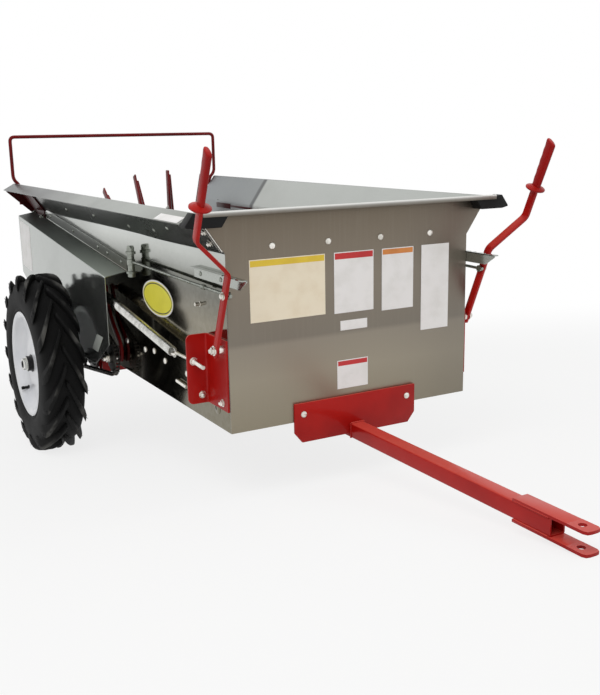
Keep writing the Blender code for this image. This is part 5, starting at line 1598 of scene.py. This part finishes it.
def addCornerBracket(name, sign):
    inner = box["half"] + 0.0003
    face = (inner + corner["metal"]) * sign
    fold = corner["length"] - corner["metal"]
    outer = (inner + corner["reach"]) * sign
    bm = bmesh.new()
    line = [(face, 0.0003, corner["bottom"]), (face, fold, corner["bottom"]), (outer, fold, corner["bottom"])]
    drawnOut(bm, line, (0, 0, corner["top"] - corner["bottom"]))
    tips = [vert for vert in bm.verts if abs(vert.co.x - outer) < 0.0001]
    bmesh.ops.bevel(bm, geom=tips, offset=corner["round"], segments=5, profile=0.5, affect="VERTICES", material=-1)
    bendFolds(bm, 0.005)
    thicken(bm, corner["metal"], (sign, 0, 0))
    addPiece("cornerBracket_" + name, bm, ("red",), ["corner_bracket_" + name], soften=0.0007)
    bolts = bmesh.new()
    addCopy(bolts, smallHex, aim((face, *corner["sideBolt"]), (sign, 0, 0)))
    flangeX, flangeZ = corner["flangeBolt"]
    addCopy(bolts, smallHex, aim((flangeX * sign, fold, flangeZ), (0, -1, 0)))
    x, y, z = corner["pivot"]
    addCopy(bolts, midHex, aim((sign * (x + 0.0046), y, z), (sign, 0, 0)))
    # the lever turns on a pin, held off the bracket by a spacer ring
    pin = corner["pivotRadius"]
    ring = corner["spacerRadius"]
    reach = x - abs(face) + 0.006
    gap = x - abs(face) - 0.0050
    lathe(bolts, [(0, 0), (0, pin), (reach, pin), (reach, 0)], (face, y, z), (sign, 0, 0), 16)
    lathe(bolts, [(0, pin + 0.0001), (0, ring), (gap, ring), (gap, pin + 0.0001)], (face, y, z), (sign, 0, 0), 20,
          closed=True)
    addPiece("cornerBolts_" + name, bolts, ("nickel",))


spring = {
    "x": 0.3795,
    "start": (0.240, 0.1505),
    "radius": 0.0108,
    "wire": 0.0019,
    "pitch": 0.0044,
    "boltZ": 0.155,
    "boltRadius": 0.0048,
    "boltTip": 0.053,
    "boltSeat": 0.112,
    "boltRise": 0.004,
    "lean": 0.0065,
    "threadLength": 0.059,
    "eyeRadius": 0.0075,
    "endGap": 0.0091,
    "hookGap": 0.0026,
    "turnSteps": 14,
}


def addSpring(name, sign):
    x = spring["x"] * sign
    start = Vector((x, *spring["start"]))
    stop = Vector((x, *arm["hook"]))
    run = (stop - start).normalized()
    side = Vector((sign, 0, 0))
    up = run.cross(side).normalized()
    loop = spring["radius"]
    coilStart = start + run * (2 * loop)
    coilEnd = stop - run * spring["endGap"]
    length = (coilEnd - coilStart).length
    turns = int(length / spring["pitch"])
    bm = bmesh.new()
    # the close-wound body: a small ring turned and drawn along the axis
    place = Matrix((run, up, side)).transposed().to_4x4()
    place.translation = coilStart + up * spring["radius"]
    bmesh.ops.create_circle(bm, cap_ends=True, segments=6, radius=spring["wire"], matrix=place)
    steps = spring["turnSteps"]
    bmesh.ops.spin(bm, geom=bm.verts[:] + bm.edges[:] + bm.faces[:], cent=coilStart, axis=run,
                   dvec=run * (length / turns / steps), angle=math.tau * turns, steps=steps * turns)
    # a full loop on the eyebolt, a half loop on the arm's hook
    for centre, reach, spread in ((start + run * loop, -1, 150), (stop - run * spring["hookGap"], 1, 90)):
        ring = []
        count = 20
        for i in range(count + 1):
            angle = math.radians(spread * (2 * i / count - 1))
            ring.append(centre + run * (reach * loop * math.cos(angle)) + up * (loop * math.sin(angle)))
        ring = [ring[0] - run * reach * 0.006] + ring + [ring[-1] - run * reach * 0.006]
        sweep(bm, ring, ringOf(spring["wire"], 7), side)
    addPiece("tensionSpring_" + name, bm, ("zinc",), ["tension_spring_" + name])
    bolt = bmesh.new()
    eye = start + run * 0.004
    z = spring["boltZ"]
    radius = spring["boltRadius"]
    wide = spring["eyeRadius"]
    ring = []
    for i in range(19):
        angle = math.radians(20 + 320 * i / 18)
        ring.append(eye + Vector((wide * math.sin(angle) * sign, -wide * math.cos(angle), 0)))
    boltX = x + spring["lean"] * sign
    nose = Vector((boltX, spring["boltTip"], z))
    seat = Vector((boltX, spring["boltSeat"], z + spring["boltRise"]))
    # the bolt leans out a little and bends back to its eye
    sweep(bolt, [nose + Vector((0, 0.003, 0)), seat, (x, eye.y - 0.016, z - 0.001), (x, eye.y - 0.004, z - 0.002)],
          ringOf(radius * 0.85, 10), (1, 0, 0))
    sweep(bolt, ring, ringOf(radius * 0.8, 8), (0, 0, 1))
    length = spring["threadLength"]
    thread = threadLine(0, length, radius, 0.88)
    lathe(bolt, [(0, 0)] + thread + [(length + 0.0005, 0)], nose, (seat - nose).normalized(), 14)
    addCopy(bolt, hexHead(0.0080, 0.0060, 0.0014), aim(seat - Vector((0, 0.0003, 0)), (0, -1, 0)))
    addCopy(bolt, hexHead(0.0088, 0.0058, 0.0014), aim(seat + Vector((0, 0.0052, 0)), (0, 1, 0)))
    addPiece("eyeBolt_" + name, bolt, ("nickel",))


lever = {
    "lean": math.radians(23.6),
    "kink": 0.206,
    "elbow": 0.292,
    "outer": 0.0885,
    "gripStart": 0.3695,
    "gripEnd": 0.4960,
    "gripHalfX": 0.0070,
    "gripHalfY": 0.0150,
    "gripSlope": 0.32,
    "waves": 5,
    "flange": 0.0245,
    "heel": 0.016,
    "halfWidth": 0.010,
    "halfThick": 0.004,
    "bend": 0.010,
    "pinUp": 0.136,
    "pinX": 0.3625,
    "nutX": 0.3722,
    "pinLine": ((0, 0), (0, 0.0048), (0.0165, 0.0048), (0.0165, 0)),
}


def addGrip(bm, start, up, out, rear):
    # a flat moulded grip: waves for the fingers along its rear edge, its top cut aslant
    length = lever["gripEnd"] - lever["gripStart"]
    rim = lever["flange"]
    lathe(bm, [(0, 0), (0, rim - 0.001), (0.001, rim), (0.0035, rim), (0.0045, rim - 0.001), (0.0062, 0.0165),
               (0.0085, 0.0140), (0.0085, 0)], start, up, 36)
    rings = []
    count = 44
    for i in range(count + 1):
        share = i / count
        along = 0.004 + (length - 0.010) * share
        rings.append((along, 0.90 + 0.10 * share, share))
    rings += [(length - 0.0030, 0.985, 1), (length - 0.0012, 0.93, 1), (length, 0.80, 1)]
    skin = []
    for along, size, share in rings:
        slope = lever["gripSlope"] * max(share - 0.55, 0) / 0.45
        wave = 0.075 * (1 - math.cos(math.tau * lever["waves"] * share)) / 2 if 0 < share < 1 else 0
        ring = []
        for k in range(24):
            angle = math.tau * k / 24
            u = math.copysign(abs(math.cos(angle)) ** 0.8, math.cos(angle)) * lever["gripHalfX"] * size
            v = math.copysign(abs(math.sin(angle)) ** 0.8, math.sin(angle)) * lever["gripHalfY"] * size
            if v > 0:
                v *= 1 - wave
            ring.append(start + up * (along + slope * v) + out * u + rear * v)
        skin.append(ring)
    loft(bm, skin)


def addLever(name, sign):
    pivotX, pivotY, pivotZ = corner["pivot"]
    up = Vector((0, -math.sin(lever["lean"]), math.cos(lever["lean"])))
    out = Vector((sign, 0, 0))
    pivot = Vector((0, pivotY, pivotZ))
    outerX = pivotX + lever["outer"]
    path = [pivot - up * lever["heel"] + out * pivotX, pivot + up * lever["kink"] + out * pivotX,
            pivot + up * lever["elbow"] + out * outerX, pivot + up * (lever["gripStart"] + 0.02) + out * outerX]
    bm = bmesh.new()
    across = up.cross(out)
    sweep(bm, roundPath(path, lever["bend"], 4), flatBar(lever["halfWidth"], lever["halfThick"], 0.0009), across)
    pin = pivot + up * (lever["pinUp"] / math.cos(lever["lean"]))
    addPiece("shiftLever_" + name, bm, ("red",), ["lever_" + name], "lever_" + name)
    grip = bmesh.new()
    addGrip(grip, pivot + up * lever["gripStart"] + out * outerX, up, out, across * sign)
    addPiece("leverGrip_" + name, grip, ("gripRed",), body="lever_" + name, sharp=44)
    bolt = bmesh.new()
    lathe(bolt, lever["pinLine"], pin + out * lever["pinX"], out, 14)
    addCopy(bolt, hexHead(0.0075, 0.0045), aim(pin + out * lever["nutX"], out))
    addPiece("leverPin_" + name, bolt, ("nickel",), body="lever_" + name)


guide = {
    "inner": 0.3453,
    "top": 0.379,
    "height": 0.027,
    "metal": 0.003,
    "front": -0.112,
    "rear": 0.172,
    "reach": 0.0135,
    "notches": (-0.0135, -0.0345, -0.071),
    "notchHalf": 0.006,
    "notchDepth": 0.007,
    "tip": 0.006,
    "slant": 0.034,
    "bolts": ((0.020, 0.364), (0.135, 0.364)),
}


def addNotchGuide(name, sign):
    # an angle on the wall whose top is notched for the lever, its front end cut aslant
    bm = bmesh.new()
    edge = guide["inner"] + guide["reach"]
    outline = [(guide["inner"], guide["rear"]), (edge, guide["rear"])]
    for y in guide["notches"]:
        deep = edge - guide["notchDepth"]
        outline += [(edge, y + guide["notchHalf"]), (deep, y + guide["notchHalf"]),
                    (deep, y - guide["notchHalf"]), (edge, y - guide["notchHalf"])]
    outline += [(edge, guide["front"]), (guide["inner"], guide["front"])]
    top = guide["top"]
    slab(bm, [(x * sign, y) for x, y in outline], "z", top - guide["metal"], top, 0.0004, 1)
    low = top - guide["height"]
    leg = [(guide["rear"], low), (guide["rear"], top - 0.0004), (guide["front"], top - 0.0004),
           (guide["front"], top - guide["tip"]), (guide["front"] + guide["slant"], low)]
    face = (guide["inner"] + guide["metal"]) * sign
    slab(bm, leg, "x", *sorted((guide["inner"] * sign, face)), 0.0004, 1)
    addPiece("notchGuide_" + name, bm, ("guide",), ["notch_guide_" + name])
    addBolts("guideBolts_" + name, lowDome, [(face, *spot) for spot in guide["bolts"]], (sign, 0, 0), "rod")


rodSpec = {
    "x": 0.3585,
    "z": 0.337,
    "pinY": -0.0409,
    "nose": 0.012,
    "stud": (0.366, 0.579, 0.346),
    "radius": 0.004,
    "eye": ((-0.0036, 0), (-0.0036, 0.0085), (0.0036, 0.0085), (0.0036, 0)),
    "collar": ((0, 0.0038), (0.001, 0.0062), (0.013, 0.0062), (0.014, 0.0038)),
    "collarShare": 0.22,
    "studLine": ((-0.044, 0), (-0.044, 0.0090), (-0.042, 0.0108), (-0.034, 0.0108), (-0.033, 0.0142),
                 (-0.027, 0.0142), (-0.026, 0.0100), (-0.010, 0.0096), (-0.009, 0.0118), (0.006, 0.0118),
                 (0.007, 0.0096), (0.020, 0.0096), (0.021, 0.0142), (0.028, 0.0142), (0.029, 0.0106),
                 (0.040, 0.0106), (0.044, 0.0085), (0.044, 0)),
}


def addControlRod(name, sign):
    front = Vector((sign * rodSpec["x"], rodSpec["pinY"] - rodSpec["nose"], rodSpec["z"]))
    x, y, z = rodSpec["stud"]
    rear = Vector((sign * x, y, z))
    bm = bmesh.new()
    span = rear - front
    path = [front.lerp(rear, share) for share in (0, 0.25, 0.5, 0.75, 1)]
    sweep(bm, path, ringOf(rodSpec["radius"] * 0.97, 12), (1, 0, 0))
    # flattened eye at the lever, a turned collar part-way, then the stud with its rings
    lathe(bm, rodSpec["eye"], (front.x, rodSpec["pinY"], front.z), (1, 0, 0), 20)
    lathe(bm, rodSpec["collar"], front + span * rodSpec["collarShare"], span, 14)
    addPiece("controlRod_" + name, bm, ("rod",), ["control_rod_" + name], "control_rod_" + name)
    stud = bmesh.new()
    lathe(stud, rodSpec["studLine"], rear, (0, 0, 1), 24)
    addPiece("rodStud_" + name, stud, ("rod",), body="control_rod_" + name)


for name, sign in sides:
    addCornerBracket(name, sign)
    addSpring(name, sign)
    addLever(name, sign)
    addNotchGuide(name, sign)
    addControlRod(name, sign)
print("front corners made")

# ---- beater, rear arch, conveyor

beater = {
    "y": drive["beater"][0],
    "z": drive["beater"][1],
    "radius": 0.207,
    "short": 0.92,
    "tube": 0.020,
    "half": 0.330,
    "shaft": 0.0122,
    "shaftEnds": (-0.384, 0.366),
    "sleeve": ((-0.011, 0.0198), (-0.011, 0.0228), (-0.010, 0.0236), (0.023, 0.0236), (0.024, 0.0228),
               (0.024, 0.0198)),
    "boltReach": (0.034, 0.060),
    "stations": 6,
    "pitch": 0.1067,
    "step": math.radians(25),
    "splay": math.radians(7),
    "gap": 0.0150,
}


def addPaddle(bm, foot, out, reach):
    across = Vector((1, 0, 0))
    path = [foot + out * (beater["tube"] * 0.6), foot + out * (reach * 0.5), foot + out * (reach - 0.004),
            foot + out * reach]
    sweep(bm, path, flatBar(0.0029, 0.0128, 0.0009), across, (1, 1, 1, 0.86))


def addBeater():
    centre = Vector((0, beater["y"], beater["z"]))
    bm = bmesh.new()
    half = beater["half"]
    tube = beater["tube"]
    shaft = beater["shaft"]
    left, right = beater["shaftEnds"]
    points = [(left, 0), (left, shaft - 0.001), (left + 0.001, shaft), (-half, shaft), (-half, tube - 0.0015),
              (-half + 0.002, tube), (half - 0.002, tube), (half, tube - 0.0015), (half, shaft),
              (right - 0.001, shaft), (right, shaft - 0.001), (right, 0)]
    lathe(bm, points, centre, (1, 0, 0), 36)
    first = -beater["pitch"] * (beater["stations"] - 1) / 2
    bolts = bmesh.new()
    beside = Vector((1, 0, 0))
    for i in range(beater["stations"]):
        foot = centre + beside * (first + beater["pitch"] * i)
        spin = beater["step"] * (beater["stations"] - 2 - i)
        lathe(bm, beater["sleeve"], foot, (1, 0, 0), 28, closed=True)
        for flip in (0, math.pi):
            out = Vector((0, math.sin(spin + flip), math.cos(spin + flip)))
            lean = (out + out.cross(beside) * math.tan(beater["splay"])).normalized()
            addPaddle(bm, foot, out, beater["radius"])
            addPaddle(bm, foot + beside * beater["gap"], lean, beater["radius"] * beater["short"])
            for reach in beater["boltReach"]:
                addCopy(bolts, smallHex, aim(foot + out * reach - beside * 0.003, -beside))
    addPiece("beaterReel", bm, ("darkRed",), ["beater"], "beater")
    addPiece("beaterBolts", bolts, ("zinc",), body="beater")


# the hoop's right half from its foot up: x, height over the lip
hoop = {
    "line": ((0.391, -0.078), (0.391, -0.006), (0.4135, 0.016), (0.4135, 0.172)),
    "gap": 0.0068,
    "radius": 0.0064,
    "bend": 0.018,
    "weldX": 0.385,
    "weldZ": (-0.076, -0.036),
}


def addHoop():
    y = box["length"] + hoop["gap"]
    right = [(x, y, box["lipHeight"] + up) for x, up in hoop["line"]]
    left = [(-x, y, z) for x, y, z in reversed(right)]
    bm = bmesh.new()
    sweep(bm, roundPath(right + left, hoop["bend"], 6), ringOf(hoop["radius"], 14), (0, 1, 0))
    for sign in (-1, 1):
        low, high = ((sign * hoop["weldX"], y - 0.004, box["lipHeight"] + up) for up in hoop["weldZ"])
        weldRun(bm, low, high, 0.0025, (1, 0, 0))
    addPiece("rearHoop", bm, ("darkRed",), ["rear_hoop"])


conveyor = {
    "frontY": shaftPlug["y"],
    "rearY": drive["apron"][0],
    "z": drive["apron"][1],
    "x": 0.270,
    "slats": 12,
    "slatHalf": 0.294,
    "inner": 0.0233,
    "thick": 0.008,
    "pitch": 0.0262,
    "barGap": 0.0052,
    "barHalf": 0.0016,
    "slatFront": 0.0095,
    "slatRear": 0.0098,
    "slatRise": 0.0118,
}


def addConveyor():
    wheels = [(conveyor["frontY"], conveyor["z"], conveyor["inner"]),
              (conveyor["rearY"], conveyor["z"], conveyor["inner"])]
    wide = conveyor["thick"] / 2
    stops = spaced(beltPath(wheels, wide), conveyor["pitch"])
    pitch = (stops[1] - stops[0]).length
    link = bmesh.new()
    for offset in (-conveyor["barGap"], conveyor["barGap"]):
        low = (-pitch / 2 - 0.003, -wide + 0.0004, offset - conveyor["barHalf"])
        high = (pitch / 2 + 0.001, wide - 0.0004, offset + conveyor["barHalf"])
        block(link, low, high, 0.0008, 1)
    lathe(link, [(-0.0068, 0), (-0.0068, 0.0038), (0.0068, 0.0038), (0.0068, 0)], (pitch / 2, 0, 0), (0, 0, 1), 8)
    shape = asShape(link)
    bm = bmesh.new()
    for sign in (-1, 1):
        addLinks(bm, stops, sign * conveyor["x"], shape, shape)
    addPiece("conveyorChains", bm, ("chain",), ["apron_chain"])
    bars = bmesh.new()
    step = (conveyor["rearY"] - conveyor["frontY"]) / conveyor["slats"]
    half = conveyor["slatHalf"]
    reach = conveyor["inner"] + conveyor["thick"]
    for i in range(conveyor["slats"]):
        y = conveyor["frontY"] + step * (i + 0.5)
        front = y - conveyor["slatFront"]
        for side in (1, -1):
            seat = conveyor["z"] + side * (reach - 0.0035)
            outer = conveyor["z"] + side * (reach + conveyor["slatRise"])
            line = [(-half, y + conveyor["slatRear"], seat), (-half, front, seat), (-half, front, outer)]
            foldedSheet(bars, line, (2 * half, 0, 0), 0.003, 0.002, (0, 0, -side), 2)
    addPiece("conveyorSlats", bars, ("deck",), soften=0.0004)


addBeater()
addHoop()
addConveyor()
print("beater, arch and conveyor made")

# ---- the nodes that keep their own shape

keptFinish = {
    "floor": "deck",
    "floor_rail_left": "deck",
    "floor_rail_right": "deck",
    "apron_front_shaft": "steel",
    "apron_rear_shaft": "steel",
    "beater_sprocket": "chain",
    "rear_plate_left": "blackishRed",
    "rear_plate_right": "blackishRed",
}
for node, finish in keptFinish.items():
    kept = frame["nodes"][node]
    for slot in kept.material_slots:
        slot.material = paint[finish]


rearPlate = {
    "face": box["half"] + 0.0053,
    "bolts": ((1.575, 0.400), (1.690, 0.408), (1.572, 0.300), (1.650, 0.300)),
    "bearing": 0.012,
    "rivetRing": 0.025,
}


def addRearBolts(name, sign):
    bm = bmesh.new()
    for y, z in rearPlate["bolts"]:
        addCopy(bm, midHex, aim((sign * rearPlate["face"], y, z), (sign, 0, 0)))
    centre = Vector((sign * (rearPlate["face"] + rearPlate["bearing"]), beater["y"], beater["z"]))
    rivet = domeHead(0.0042, 0.0026, 10)
    for angle in (math.radians(30), math.radians(150), math.radians(270)):
        around = Vector((0, math.cos(angle), math.sin(angle)))
        addCopy(bm, rivet, aim(centre + around * rearPlate["rivetRing"], (sign, 0, 0)))
    addPiece("rearBolts_" + name, bm, ("rod",))


for name, sign in sides:
    addRearBolts(name, sign)
print("all pieces made")
